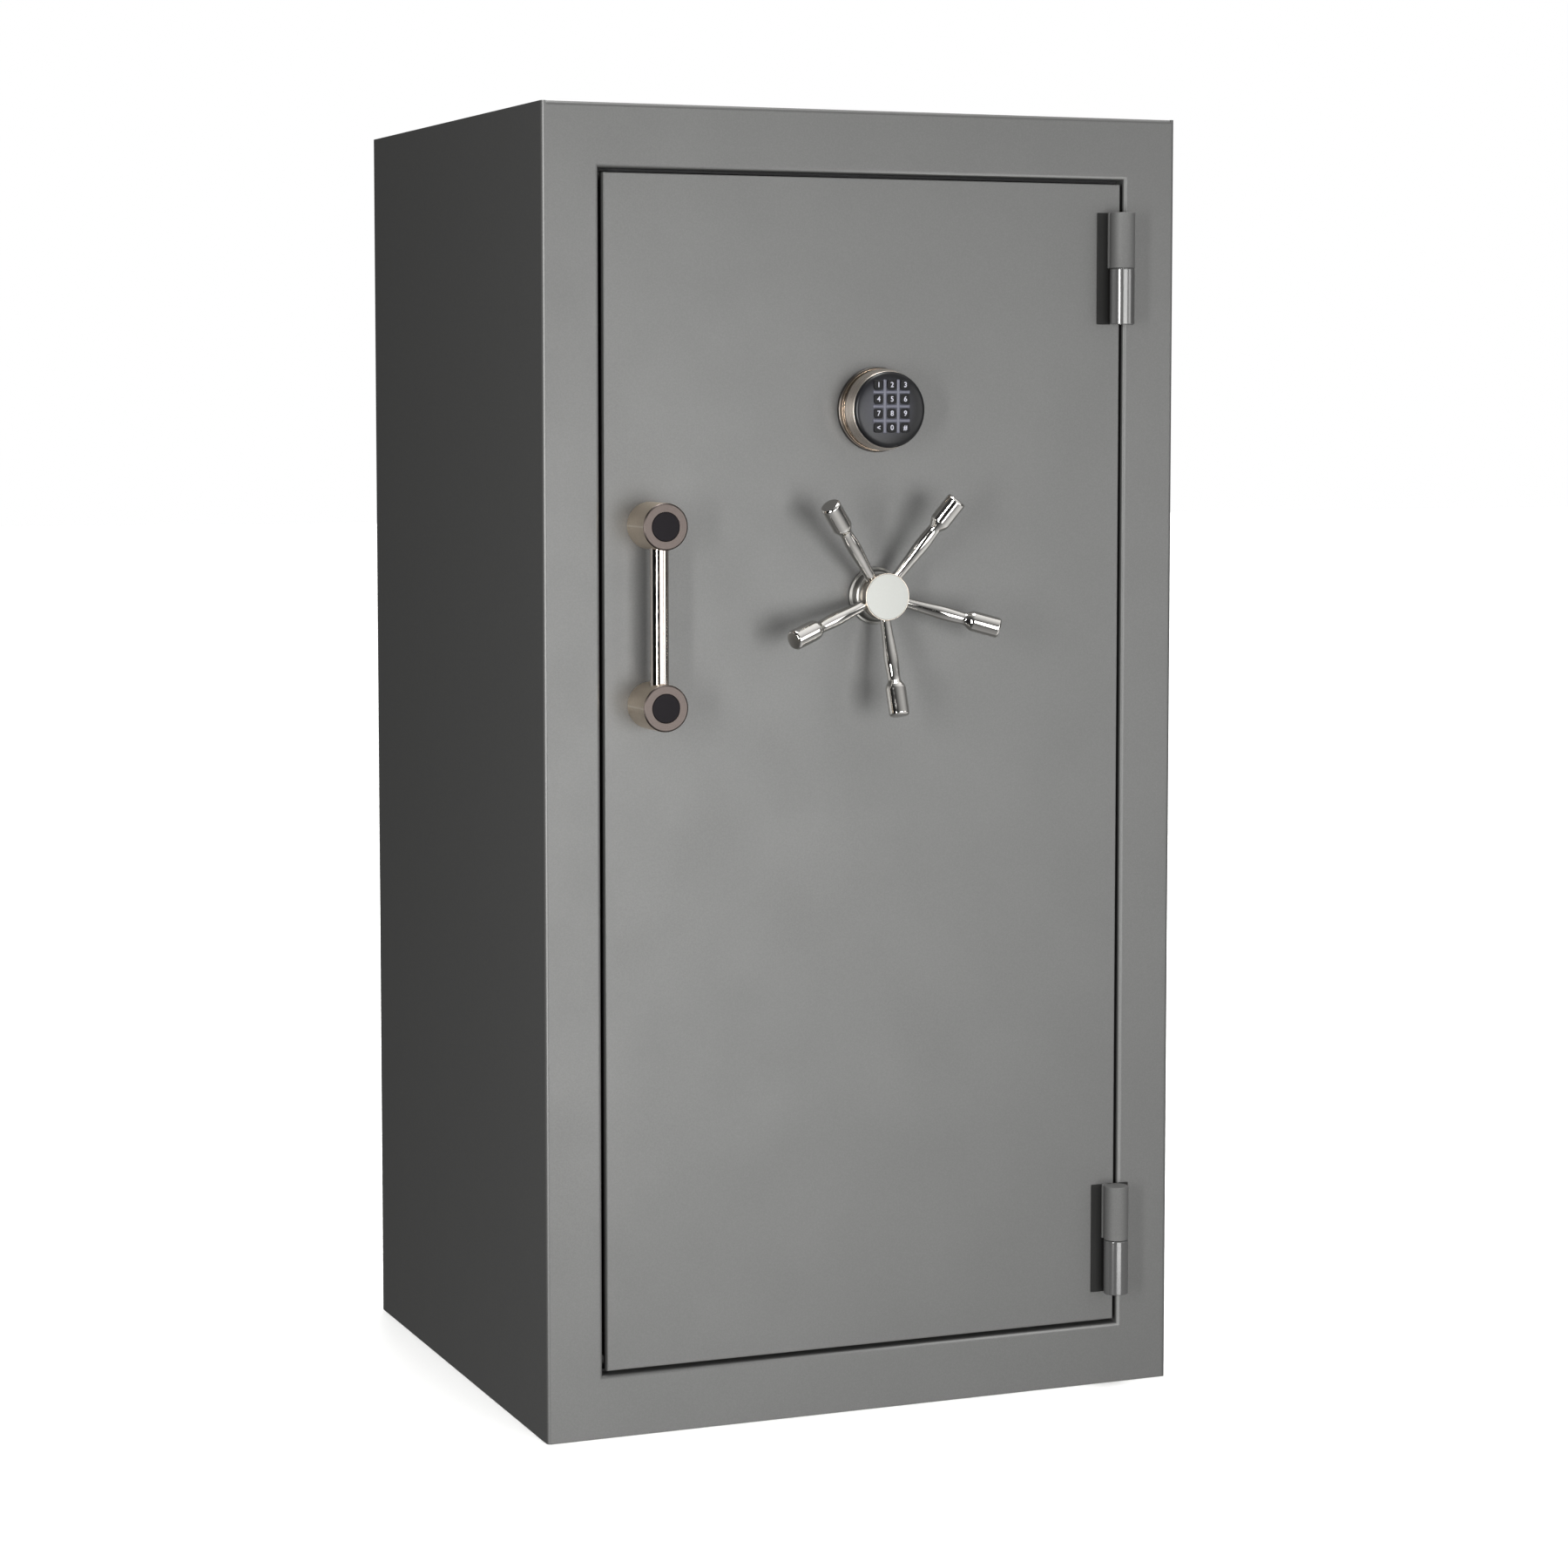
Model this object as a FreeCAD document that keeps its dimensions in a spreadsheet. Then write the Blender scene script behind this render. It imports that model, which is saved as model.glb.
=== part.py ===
"""Gun safe: steel cabinet, flush door, rack-driven bolts, electronic keypad.

Millimetres. X to the right, Y into the safe, Z up. The origin is on the floor under the middle of the
cabinet. The door is closed and its bolts are drawn back, which is the position that every joint starts from.
Depths are measured from the cabinet's front face, positive into the safe.
"""
import FreeCAD, Part
import Sketcher
import math
import os

from FreeCAD import Placement, Rotation, Vector

DIMENSIONS = {
    "body_width": 785, "body_depth": 672, "body_height": 1505, "wall": 5, "corner_round": 4.9,
    "opening_width": 652, "opening_height": 1361, "opening_base": 72, "opening_round": 4.5,
    "board": 45, "lining": 6, "interior_front": 62, "anchor_x": 440, "anchor_y": 380, "anchor_radius": 7,
    "jamb": 6, "strike_front": 44, "strike_back": 58, "strike_reach": 13,
    "seal": 3, "seal_width": 18, "seal_depth": 20,
    "door_gap": 5, "door_plate": 12, "door_round": 1.5, "pan_inset": 24, "pan_back": 55, "pan_sheet": 2,
    "channel": 3, "channel_back": 95, "panel": 10, "panel_inset": 5,
    "hinge_x": 317, "hinge_out": 15, "barrel_radius": 14.5, "knuckle": 64.7, "knuckle_gap": 0.6,
    "hinge_top": 1264.5, "hinge_bottom": 112, "pin_radius": 7, "pin_play": 0.05, "pin_cover": 5,
    "neck": 5, "neck_reach": 13, "leaf": 2, "door_leaf_edge": 26, "door_leaf_gap": 8,
    "frame_leaf_edge": 22.5, "frame_leaf_gap": 10,
    "handle_x": 8, "handle_z": 952, "spindle_radius": 8, "spindle_play": 0.05, "bush_radius": 12,
    "collar_radius": 33, "collar_out": 14, "hub_radius": 27, "hub_out": 37, "spoke_count": 5,
    "spoke_start": 16, "spoke_root_out": 25, "spoke_length": 124, "spoke_rise": 17.5, "spoke_turn": -16.2,
    "spoke_root": 6.25, "spoke_swell": 8.3, "spoke_neck": 7.2, "spoke_grip": 11.7,
    "disc_rim": 0.8, "disc_sunk": 2, "socket_cover": 8,
    "module": 2, "teeth": 20, "pinion_front": 60, "rack_front": 62, "rack_split": 77, "rack_back": 92,
    "rack_bar": 18, "bolt_radius": 16, "bolt_depth": 76, "bolt_count": 4, "bolt_pitch": 330,
    "bolt_first": 258, "bolt_play": 0.5, "bolt_bar": 8, "bolt_bar_x": 256, "bolt_chamfer": 1.5,
    "bolt_short": 45, "bolt_sunk": 0.5, "layer_gap": 1, "rack_tail": 60, "bar_overhang": 30,
    "lock_z": 1165, "lock_x": 0, "lock_width": 62, "lock_height": 60, "lock_front": 60, "lock_back": 90,
    "lock_bolt_height": 12, "lock_bolt_front": 80, "lock_bolt_back": 87, "lock_play": 0.3,
    "lock_bolt_length": 40, "lock_throw": 5, "lock_proud": 0.5, "lock_tab": 10, "lock_tab_gap": 4,
    "hard_plate_rim": 10, "hard_plate_shift": 5, "cable_radius": 7,
    "pull_x": -267.6, "pull_z": 935, "pull_spacing": 202, "post_radius": 26.5, "post_out": 54,
    "pull_bar_radius": 10.5, "pull_bar_out": 32, "cap_radius": 16, "cap_depth": 3, "post_ease": 1.5,
    "pull_bolt_radius": 5, "pull_bolt_reach": 25, "pull_bolt_head": 9, "pull_bolt_head_tall": 7,
    "keypad_x": 9.5, "keypad_z": 1165, "keypad_radius": 48.5, "face_radius": 43.5, "face_out": 44,
    "key_width": 11, "key_round": 3, "key_pitch_x": 16.5, "key_pitch_z": 16.2, "key_rise": 3.9,
    "key_height": 4.5, "key_proud": 1.4, "key_play": 0.35, "key_lift": 1.3,
    "battery_length": 48, "battery_width": 17, "battery_height": 26, "battery_front": 24,
    "divider_x": 60, "divider": 16, "divider_height": 1300,
    "shelf": 16, "shelf_count": 4, "shelf_first": 330, "shelf_pitch": 270, "shelf_play": 0.5, "shelf_back": 2,
    "standard": 4, "standard_width": 16, "standard_inset": 20, "standard_front": 60, "standard_back": 90,
    "clip": 12, "screw_radius": 5, "screw_head": 2, "screw_inset": 24,
    "rack_height": 1050, "rack_depth": 70, "rack_thick": 22, "notch": 28, "notch_count": 5,
}

doc = FreeCAD.newDocument("gun_safe")
sheet = doc.addObject("Spreadsheet::Sheet", "sizes")
for row, (alias, number) in enumerate(DIMENSIONS.items(), start=1):
    sheet.set(f"A{row}", alias.replace("_", " "))
    sheet.set(f"B{row}", str(number))
    sheet.setAlias(f"B{row}", alias)
doc.recompute()

nodes = []

FORWARD = Rotation(Vector(1, 0, 0), 90)
INWARD = Rotation(Vector(1, 0, 0), -90)
RIGHT = Rotation(Vector(0, 1, 0), 90)
LEFT = Rotation(Vector(0, 1, 0), -90)
UP = Rotation()


# ---------------------------------------------------------------- expressions and primitives

def cell(alias):
    """The number in a cell of the sheet."""
    return float(sheet.get(alias))


def s(text):
    """An expression in which every word that names a cell points at the sheet."""
    words = str(text).replace("(", " ( ").replace(")", " ) ").split()
    return " ".join(f"sizes.{word}" if word in DIMENSIONS else word for word in words)


def depth(text):
    """The Y of a plane that lies this far behind the cabinet's front face."""
    return f"0 - body_depth / 2 + ( {text} )"


def bind(obj, **expressions):
    for name, text in expressions.items():
        obj.setExpression(name, s(text))


def put(obj, x, y, z, rotation=UP):
    """Turn an object, then bind its position to the sheet."""
    obj.Placement = Placement(Vector(), rotation)
    for axis, text in zip("xyz", (x, y, z)):
        obj.setExpression(f"Placement.Base.{axis}", s(text))
    return obj


def part(kind, label):
    obj = doc.addObject(kind, label)
    obj.Label = label
    return obj


def box(label, size, corner):
    obj = part("Part::Box", label)
    bind(obj, Length=size[0], Width=size[1], Height=size[2])
    return put(obj, *corner)


def cylinder(label, radius, height, base, rotation=UP):
    obj = part("Part::Cylinder", label)
    bind(obj, Radius=radius, Height=height)
    return put(obj, *base, rotation)


def cone(label, radius_1, radius_2, height, base, rotation=UP):
    obj = part("Part::Cone", label)
    bind(obj, Radius1=radius_1, Radius2=radius_2, Height=height)
    return put(obj, *base, rotation)


def fuse(label, pieces):
    obj = part("Part::MultiFuse", label)
    obj.Shapes = pieces
    obj.Refine = True
    return obj


def cut(label, base, tools):
    obj = part("Part::Cut", label)
    obj.Base = base
    obj.Tool = tools[0] if len(tools) == 1 else fuse(f"{label}_tools", tools)
    return obj


def group(label, pieces):
    """Separate solids that make one node."""
    obj = part("Part::Compound", label)
    obj.Links = pieces
    return obj


def node(obj):
    """Keep this object as a sub-part."""
    nodes.append(obj)
    return obj


def turned(label, stations, base=(0, 0, 0), rotation=UP):
    """A turned piece: (height, radius) stations joined by cylinders and cones."""
    stack = []
    for number, (low, high) in enumerate(zip(stations, stations[1:])):
        if low[0] == high[0]:
            continue
        height = f"( {high[0]} ) - ( {low[0]} )"
        place = (0, 0, low[0])
        name = f"{label}_step_{number}"
        if low[1] == high[1]:
            stack.append(cylinder(name, low[1], height, place))
        else:
            stack.append(cone(name, low[1], high[1], height, place))
    return put(fuse(label, stack), *base, rotation)


def rounded(label, base, radius, wanted):
    """Round the edges of an object for which wanted(edge) is true."""
    doc.recompute()
    obj = part("Part::Fillet", label)
    obj.Base = base
    size = cell(radius)
    numbers = [i for i, edge in enumerate(base.Shape.Edges, start=1) if wanted(edge)]
    if not numbers:
        raise RuntimeError(f"{label}: no edge to round")
    obj.Edges = [(number, size, size) for number in numbers]
    return obj


def runs_along(edge, axis, **at):
    """True for a straight edge along an axis that lies at the given coordinates."""
    box_of = edge.BoundBox
    spans = {"x": box_of.XLength, "y": box_of.YLength, "z": box_of.ZLength}
    middle = box_of.Center
    straight = all(length < 0.01 for name, length in spans.items() if name != axis)
    return straight and all(abs(getattr(middle, name) - value) < 0.01 for name, value in at.items())


# ---------------------------------------------------------------- cabinet

HALF_WIDTH = "body_width / 2"
OPENING_TOP = "( opening_base + opening_height )"


def cabinet_walls():
    """Four plates welded into a tube; the front corners are rolled."""
    side_x = cell("body_width") / 2
    front = -cell("body_depth") / 2
    plates = []
    for side, x, outer in (("left", f"0 - {HALF_WIDTH}", -side_x), ("right", f"{HALF_WIDTH} - wall", side_x)):
        plate = box(f"{side}_wall_blank", ("wall", "body_depth", "body_height"), (x, depth("0"), "0"))
        plates.append(rounded(f"{side}_wall", plate, "corner_round",
                              lambda edge, outer=outer: runs_along(edge, "z", x=outer, y=front)))
    inner_width = "body_width - 2 * wall"
    inner_x = f"wall - {HALF_WIDTH}"
    roof = box("roof_blank", (inner_width, "body_depth", "wall"), (inner_x, depth("0"), "body_height - wall"))
    plates.append(rounded("roof_plate", roof, "corner_round",
                          lambda edge: runs_along(edge, "x", y=front, z=cell("body_height"))))
    floor = box("floor_blank", (inner_width, "body_depth", "wall"), (inner_x, depth("0"), "0"))
    plates.append(cut("floor_plate", floor, anchor_holes("floor", "anchor_radius", "wall", "0")))
    return node(group("cabinet_walls", plates))


def anchor_holes(name, radius, height, base):
    """Four upright holes at the corners of the anchor rectangle."""
    return [
        cylinder(f"{name}_anchor_{number}", radius, f"{height} + 2",
                 (f"{x} * anchor_x / 2", f"{y} * anchor_y / 2", f"{base} - 1"))
        for number, (x, y) in enumerate(((-1, -1), (1, -1), (1, 1), (-1, 1)))
    ]


def back_plate():
    size = ("body_width - 2 * wall", "wall", "body_height - 2 * wall")
    corner = (f"wall - {HALF_WIDTH}", depth("body_depth - wall"), "wall")
    return node(box("back_plate", size, corner))


def front_frame():
    """One plate between the walls with the door opening cut out; the opening's front edge is rolled."""
    body = part("PartDesign::Body", "front_frame")
    plane = next(item for item in body.Origin.OriginFeatures if item.Role == "XZ_Plane")
    sketch = body.newObject("Sketcher::SketchObject", "frame_outline")
    sketch.AttachmentSupport = [(plane, "")]
    sketch.MapMode = "FlatFace"
    outer = rectangle(sketch, -380, 5, 380, 1500)
    inner = rectangle(sketch, -320, 80, 320, 1400)
    half = HALF_WIDTH
    hold_rectangle(sketch, outer, (f"{half} - wall", f"{half} - wall", "wall", "body_height - wall"))
    hold_rectangle(sketch, inner, ("opening_width / 2", "opening_width / 2", "opening_base", OPENING_TOP))
    pad = body.newObject("PartDesign::Pad", "frame_plate")
    pad.Profile = sketch
    bind(pad, Length="wall")
    pad.Reversed = True
    doc.recompute()
    rim = [f"Edge{i}" for i, edge in enumerate(pad.Shape.Edges, start=1) if on_front_rim(edge)]
    rim_round = body.newObject("PartDesign::Fillet", "frame_rim")
    rim_round.Base = (pad, rim)
    bind(rim_round, Radius="opening_round")
    body.Tip = rim_round
    put(body, "0", depth("0"), "0")
    return node(body)


def rectangle(sketch, left, low, right, high):
    """Four lines; returns the index of the first one."""
    corners = [Vector(left, low), Vector(right, low), Vector(right, high), Vector(left, high)]
    first = sketch.GeometryCount
    for start, end in zip(corners, corners[1:] + corners[:1]):
        sketch.addGeometry(Part.LineSegment(start, end))
    for number in range(4):
        following = first + (number + 1) % 4
        sketch.addConstraint(Sketcher.Constraint("Coincident", first + number, 2, following, 1))
    for number in (0, 2):
        sketch.addConstraint(Sketcher.Constraint("Horizontal", first + number))
        sketch.addConstraint(Sketcher.Constraint("Vertical", first + number + 1))
    return first


def hold_rectangle(sketch, first, distances):
    """Bind the left, right, bottom and top sides to distances from the sketch's origin."""
    left, right, low, high = distances
    rows = (
        ("DistanceX", (first, 1, -1, 1), left),
        ("DistanceX", (-1, 1, first, 2), right),
        ("DistanceY", (-1, 1, first, 1), low),
        ("DistanceY", (-1, 1, first + 2, 1), high),
    )
    for kind, ends, text in rows:
        number = sketch.addConstraint(Sketcher.Constraint(kind, *ends, 10.0))
        sketch.setExpression(f"Constraints[{number}]", s(text))


def on_front_rim(edge):
    """True for the opening's edges on the front face."""
    box_of = edge.BoundBox
    half = cell("opening_width") / 2 + 1
    inside = box_of.XMin > -half and box_of.XMax < half
    return inside and box_of.YLength < 0.01 and abs(box_of.YMin) < 0.01


def ring_bars(label, inset, outset, front, back):
    """Four bars round the opening: from inset inside its edge to outset outside it."""
    left = f"0 - opening_width / 2 - {outset}"
    low = f"opening_base - {outset}"
    thick = f"{outset} + {inset}"
    wide = f"opening_width - 2 * {inset}"
    tall = f"opening_height + 2 * {outset}"
    deep = f"{back} - {front}"
    y = depth(front)
    return group(label, [
        box(f"{label}_left", (thick, deep, tall), (left, y, low)),
        box(f"{label}_right", (thick, deep, tall), (f"opening_width / 2 - {inset}", y, low)),
        box(f"{label}_bottom", (wide, deep, thick), (f"{inset} - opening_width / 2", y, low)),
        box(f"{label}_top", (wide, deep, thick),
            (f"{inset} - opening_width / 2", y, f"{OPENING_TOP} - {inset}")),
    ])


def opening_surround():
    """Jamb behind the front frame, the strike that the bolts pass behind, and the seal strip."""
    node(ring_bars("opening_jamb", "0", "jamb", "wall", "strike_back"))
    node(ring_bars("bolt_strike", "strike_reach", "0", "strike_front", "strike_back"))
    node(ring_bars("fire_seal", "seal", "0", "seal_depth", "seal_depth + seal_width"))


def slab_set(label, thick, outer, front, back_plane, floor_slab=True):
    """Slabs inside the cabinet: left, right, roof, back and floor, starting at outer from the walls."""
    left = f"{outer} - {HALF_WIDTH}"
    deep = f"{back_plane} - {front}"
    tall = f"body_height - 2 * {outer}"
    wide = f"body_width - 2 * {outer} - 2 * {thick}"
    y = depth(front)
    inner_left = f"{outer} + {thick} - {HALF_WIDTH}"
    slabs = [
        box(f"{label}_left", (thick, deep, tall), (left, y, outer)),
        box(f"{label}_right", (thick, deep, tall), (f"{HALF_WIDTH} - {outer} - {thick}", y, outer)),
        box(f"{label}_roof", (wide, deep, thick), (inner_left, y, f"body_height - {outer} - {thick}")),
        box(f"{label}_back", (wide, thick, f"{tall} - 2 * {thick}"),
            (inner_left, depth(f"{back_plane} - {thick}"), f"{outer} + {thick}")),
    ]
    if floor_slab:
        blank = box(f"{label}_floor_blank", (wide, deep, thick), (inner_left, y, outer))
        slabs.append(cut(f"{label}_floor", blank, anchor_holes(label, "2 * anchor_radius", thick, outer)))
    return group(label, slabs)


def cabinet_inside():
    """Fireproof board, carpeted linings and the carpet."""
    node(slab_set("fire_board", "board", "wall", "interior_front", "( body_depth - wall )"))
    skin = "( wall + board )"
    node(slab_set("carpet_lining", "lining", skin, "interior_front", f"( body_depth - {skin} )", False))
    size = (f"body_width - 2 * {skin} - 2 * lining", f"body_depth - {skin} - lining - interior_front",
            "lining")
    corner = (f"{skin} + lining - {HALF_WIDTH}", depth("interior_front"), skin)
    carpet = box("floor_carpet_blank", size, corner)
    node(cut("floor_carpet", carpet, anchor_holes("carpet", "anchor_radius", "lining", skin)))


INSIDE = "( body_width / 2 - wall - board - lining )"
INSIDE_FLOOR = "( wall + board + lining )"
INSIDE_BACK = "( body_depth - wall - board - lining )"
SHELF_FRONT = "( channel_back + panel + 35 )"


def storage():
    """Divider, four shelves on slotted standards, and the clips that carry the shelves."""
    deep = f"{INSIDE_BACK} - {SHELF_FRONT}"
    node(box("divider_panel", ("divider", deep, "divider_height"),
             ("divider_x", depth(SHELF_FRONT), INSIDE_FLOOR)))
    rows = (("front", f"{SHELF_FRONT} + standard_front"), ("back", f"{INSIDE_BACK} - standard_back"))
    standards = []
    for side, x in (("left", "divider_x + divider"), ("right", f"{INSIDE} - standard")):
        for place, y in rows:
            standards.append(box(f"standard_{side}_{place}",
                                 ("standard", "standard_width", "divider_height - 2 * standard_inset"),
                                 (x, depth(y), f"{INSIDE_FLOOR} + standard_inset")))
    shelves = []
    clips = []
    shelf_left = "( divider_x + divider + standard + shelf_play )"
    shelf_size = (f"{INSIDE} - standard - shelf_play - {shelf_left}", f"{deep} - 2 * shelf_back", "shelf")
    for number in range(int(cell("shelf_count"))):
        z = f"shelf_first + {number} * shelf_pitch"
        shelves.append(box(f"shelf_{number}", shelf_size,
                           (shelf_left, depth(f"{SHELF_FRONT} + shelf_back"), z)))
        for side, x in (("left", "divider_x + divider + standard"), ("right", f"{INSIDE} - standard - clip")):
            for place, y in rows:
                corner = (x, depth(f"{y} + ( standard_width - clip ) / 2"), f"{z} - clip")
                clips.append(box(f"clip_{side}_{place}_{number}", ("clip", "clip", "clip"), corner))
    node(group("shelves", shelves))
    node(group("shelf_standards", standards + clips))


def barrel_rack():
    """Padded board along the back of the long-gun side; each notch takes one barrel."""
    length = f"divider_x + {INSIDE}"
    front = f"{INSIDE_BACK} - rack_depth"
    board = box("rack_board", (length, "rack_depth", "rack_thick"),
                (f"0 - {INSIDE}", depth(front), "rack_height"))
    notches = []
    pitch = f"( ( {length} ) / notch_count )"
    for number in range(int(cell("notch_count"))):
        middle = f"{pitch} * {number + 0.5} - {INSIDE}"
        notches.append(box(f"notch_{number}", ("notch", "notch + 1", "rack_thick + 2"),
                           (f"{middle} - notch / 2", depth(f"{front} - 1"), "rack_height - 1")))
    return node(cut("barrel_rack", board, notches))


# ---------------------------------------------------------------- hinges

HINGE_Y = "0 - hinge_out"


def hinge_half(name, side, base, bore_radius, bore_height, signed_edges):
    """Knuckle, the neck that joins it to the leaf, and a leaf as tall as both knuckles."""
    knuckle_base, leaf_base = base
    neck_left, leaf_left, leaf_wide = signed_edges
    axis = ("hinge_x", depth(HINGE_Y), knuckle_base)
    barrel = cylinder(f"{name}_{side}_barrel", "barrel_radius", "knuckle", axis)
    neck = box(f"{name}_{side}_neck", ("neck_reach", "neck", "knuckle"),
               (neck_left, depth("0 - neck"), knuckle_base))
    leaf = box(f"{name}_{side}_leaf", (leaf_wide, "leaf", "2 * knuckle + knuckle_gap"),
               (leaf_left, depth("0 - leaf"), leaf_base))
    bore = cylinder(f"{name}_{side}_bore", bore_radius, bore_height,
                    ("hinge_x", depth(HINGE_Y), f"{knuckle_base} - 1"))
    return cut(f"{name}_{side}_knuckle", fuse(f"{name}_{side}_blank", [barrel, neck, leaf]), [bore])


def hinges():
    """Two lift-off hinges: the lower knuckle and its pin stay on the frame, the upper one is the door's."""
    frame_half, door_half, pins = [], [], []
    frame_edges = ("hinge_x", "hinge_x + frame_leaf_gap", "frame_leaf_edge - frame_leaf_gap")
    door_edges = ("hinge_x - neck_reach", "hinge_x - door_leaf_edge", "door_leaf_edge - door_leaf_gap")
    for name, base in (("high", "hinge_top"), ("low", "hinge_bottom")):
        upper = f"{base} + knuckle + knuckle_gap"
        frame_half.append(hinge_half(name, "frame", (base, base), "pin_radius", "knuckle + 2", frame_edges))
        door_half.append(hinge_half(name, "door", (upper, base), "pin_radius + pin_play",
                                    "knuckle - pin_cover", door_edges))
        pins.append(cylinder(f"{name}_pin", "pin_radius", "2 * knuckle - 2 * pin_cover",
                             ("hinge_x", depth(HINGE_Y), base)))
    node(group("frame_hinge_knuckles", frame_half))
    node(group("door_hinge_knuckles", door_half))
    node(group("hinge_pins", pins))


# ---------------------------------------------------------------- door

DOOR_LEFT = "( door_gap - opening_width / 2 )"
DOOR_BASE = "( opening_base + door_gap )"
DOOR_WIDE = "( opening_width - 2 * door_gap )"
DOOR_TALL = "( opening_height - 2 * door_gap )"
PAN_LEFT = "( door_gap + pan_inset - opening_width / 2 )"
PAN_BASE = "( opening_base + door_gap + pan_inset )"
PAN_WIDE = "( opening_width - 2 * door_gap - 2 * pan_inset )"
PAN_TALL = "( opening_height - 2 * door_gap - 2 * pan_inset )"


def through_hole(label, radius, x, z, start, end):
    """A hole along Y between two depths."""
    return cylinder(label, radius, f"{end} - ( {start} )", (x, depth(start), z), INWARD)


def door_shell():
    """Door plate, the pan behind it and the fireproof board inside the pan."""
    blank = box("door_blank", (DOOR_WIDE, "door_plate", DOOR_TALL), (DOOR_LEFT, depth("0"), DOOR_BASE))
    front = -cell("body_depth") / 2
    eased = rounded("door_eased", blank, "door_round", lambda edge: edge_on_plane(edge, front))
    node(cut("door_plate", eased, [
        through_hole("plate_spindle_hole", "bush_radius", "handle_x", "handle_z", "0 - 1", "door_plate + 1"),
        through_hole("plate_cable_hole", "cable_radius", "keypad_x", "keypad_z", "0 - 1", "door_plate + 1"),
        *post_holes("plate", "pull_bolt_radius", "0 - 1", "door_plate + 1"),
    ]))
    tray = box("pan_blank", (PAN_WIDE, "pan_back - door_plate", PAN_TALL),
               (PAN_LEFT, depth("door_plate"), PAN_BASE))
    core_size = (f"{PAN_WIDE} - 2 * pan_sheet", "pan_back - pan_sheet - door_plate",
                 f"{PAN_TALL} - 2 * pan_sheet")
    core_corner = (f"{PAN_LEFT} + pan_sheet", depth("door_plate"), f"{PAN_BASE} + pan_sheet")
    hollow = box("pan_hollow", core_size, core_corner)
    sheet_front = "pan_back - pan_sheet - 1"
    node(cut("door_pan", tray, [
        hollow,
        through_hole("pan_spindle_hole", "bush_radius", "handle_x", "handle_z", sheet_front, "pan_back + 1"),
        through_hole("pan_cable_hole", "cable_radius", "keypad_x", "keypad_z", sheet_front, "pan_back + 1"),
    ]))
    start = "door_plate - 1"
    head_room = "pull_bolt_head + 2"
    head_end = "door_plate + pull_bolt_head_tall + 2"
    node(cut("door_fire_board", box("door_board_blank", core_size, core_corner), [
        through_hole("board_spindle_hole", "bush_radius", "handle_x", "handle_z", start, "pan_back"),
        through_hole("board_cable_hole", "cable_radius", "keypad_x", "keypad_z", start, "pan_back"),
        *post_holes("board", head_room, start, head_end),
    ]))


def edge_on_plane(edge, y):
    box_of = edge.BoundBox
    return box_of.YLength < 0.01 and abs(box_of.YMin - y) < 0.01


def post_places():
    return [("low", "pull_z - pull_spacing / 2"), ("high", "pull_z + pull_spacing / 2")]


def post_holes(name, radius, start, end):
    return [through_hole(f"{name}_post_hole_{place}", radius, "pull_x", z, start, end)
            for place, z in post_places()]


def bolt_heights():
    return [f"bolt_first + {number} * bolt_pitch" for number in range(int(cell("bolt_count")))]


TOP_LINK_X = "( handle_x - module * teeth / 2 - rack_bar / 2 - 2.5 )"
BOTTOM_LINK_X = "( handle_x + module * teeth / 2 + rack_bar / 2 + 2.5 )"


def bolt_channels():
    """Steel strips on edge round the pan's back; every bolt slides through one."""
    deep = "channel_back - pan_back"
    y = depth("pan_back")
    hole = "bolt_radius + bolt_play"
    right_x = f"{PAN_LEFT} + {PAN_WIDE} - channel"
    strips = []
    for side, x in (("left", PAN_LEFT), ("right", right_x)):
        strip = box(f"{side}_channel_blank", ("channel", deep, PAN_TALL), (x, y, PAN_BASE))
        holes = [cylinder(f"{side}_channel_hole_{number}", hole, "channel + 2",
                          (f"{x} - 1", depth("bolt_depth"), z), RIGHT)
                 for number, z in enumerate(bolt_heights())]
        strips.append(cut(f"{side}_channel", strip, holes))
    inner = f"{PAN_WIDE} - 2 * channel"
    for side, z, bolt_x in (("top", f"{PAN_BASE} + {PAN_TALL} - channel", TOP_LINK_X),
                            ("bottom", PAN_BASE, BOTTOM_LINK_X)):
        strip = box(f"{side}_channel_blank", (inner, deep, "channel"), (f"{PAN_LEFT} + channel", y, z))
        bore = cylinder(f"{side}_channel_hole", hole, "channel + 2",
                        (bolt_x, depth("bolt_depth"), f"{z} - 1"))
        strips.append(cut(f"{side}_channel", strip, [bore]))
    return node(group("bolt_channels", strips))


def door_lining():
    """Upholstered board over the boltwork, and the screws that hold it to the channels."""
    size = (f"{PAN_WIDE} - 2 * panel_inset", "panel", f"{PAN_TALL} - 2 * panel_inset")
    corner = (f"{PAN_LEFT} + panel_inset", depth("channel_back"), f"{PAN_BASE} + panel_inset")
    node(box("door_inner_panel", size, corner))
    screws = []
    columns = (f"{PAN_LEFT} + screw_inset", f"{PAN_LEFT} + {PAN_WIDE} / 2",
               f"{PAN_LEFT} + {PAN_WIDE} - screw_inset")
    rows = (f"{PAN_BASE} + screw_inset", f"{PAN_BASE} + {PAN_TALL} / 2",
            f"{PAN_BASE} + {PAN_TALL} - screw_inset")
    for row, z in enumerate(rows):
        for column, x in enumerate(columns):
            if row == 1 and column == 1:
                continue
            screws.append(cylinder(f"screw_{row}_{column}", "screw_radius", "screw_head",
                                   (x, depth("channel_back + panel"), z), INWARD))
    node(group("panel_screws", screws))


# ---------------------------------------------------------------- pull handle

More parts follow.
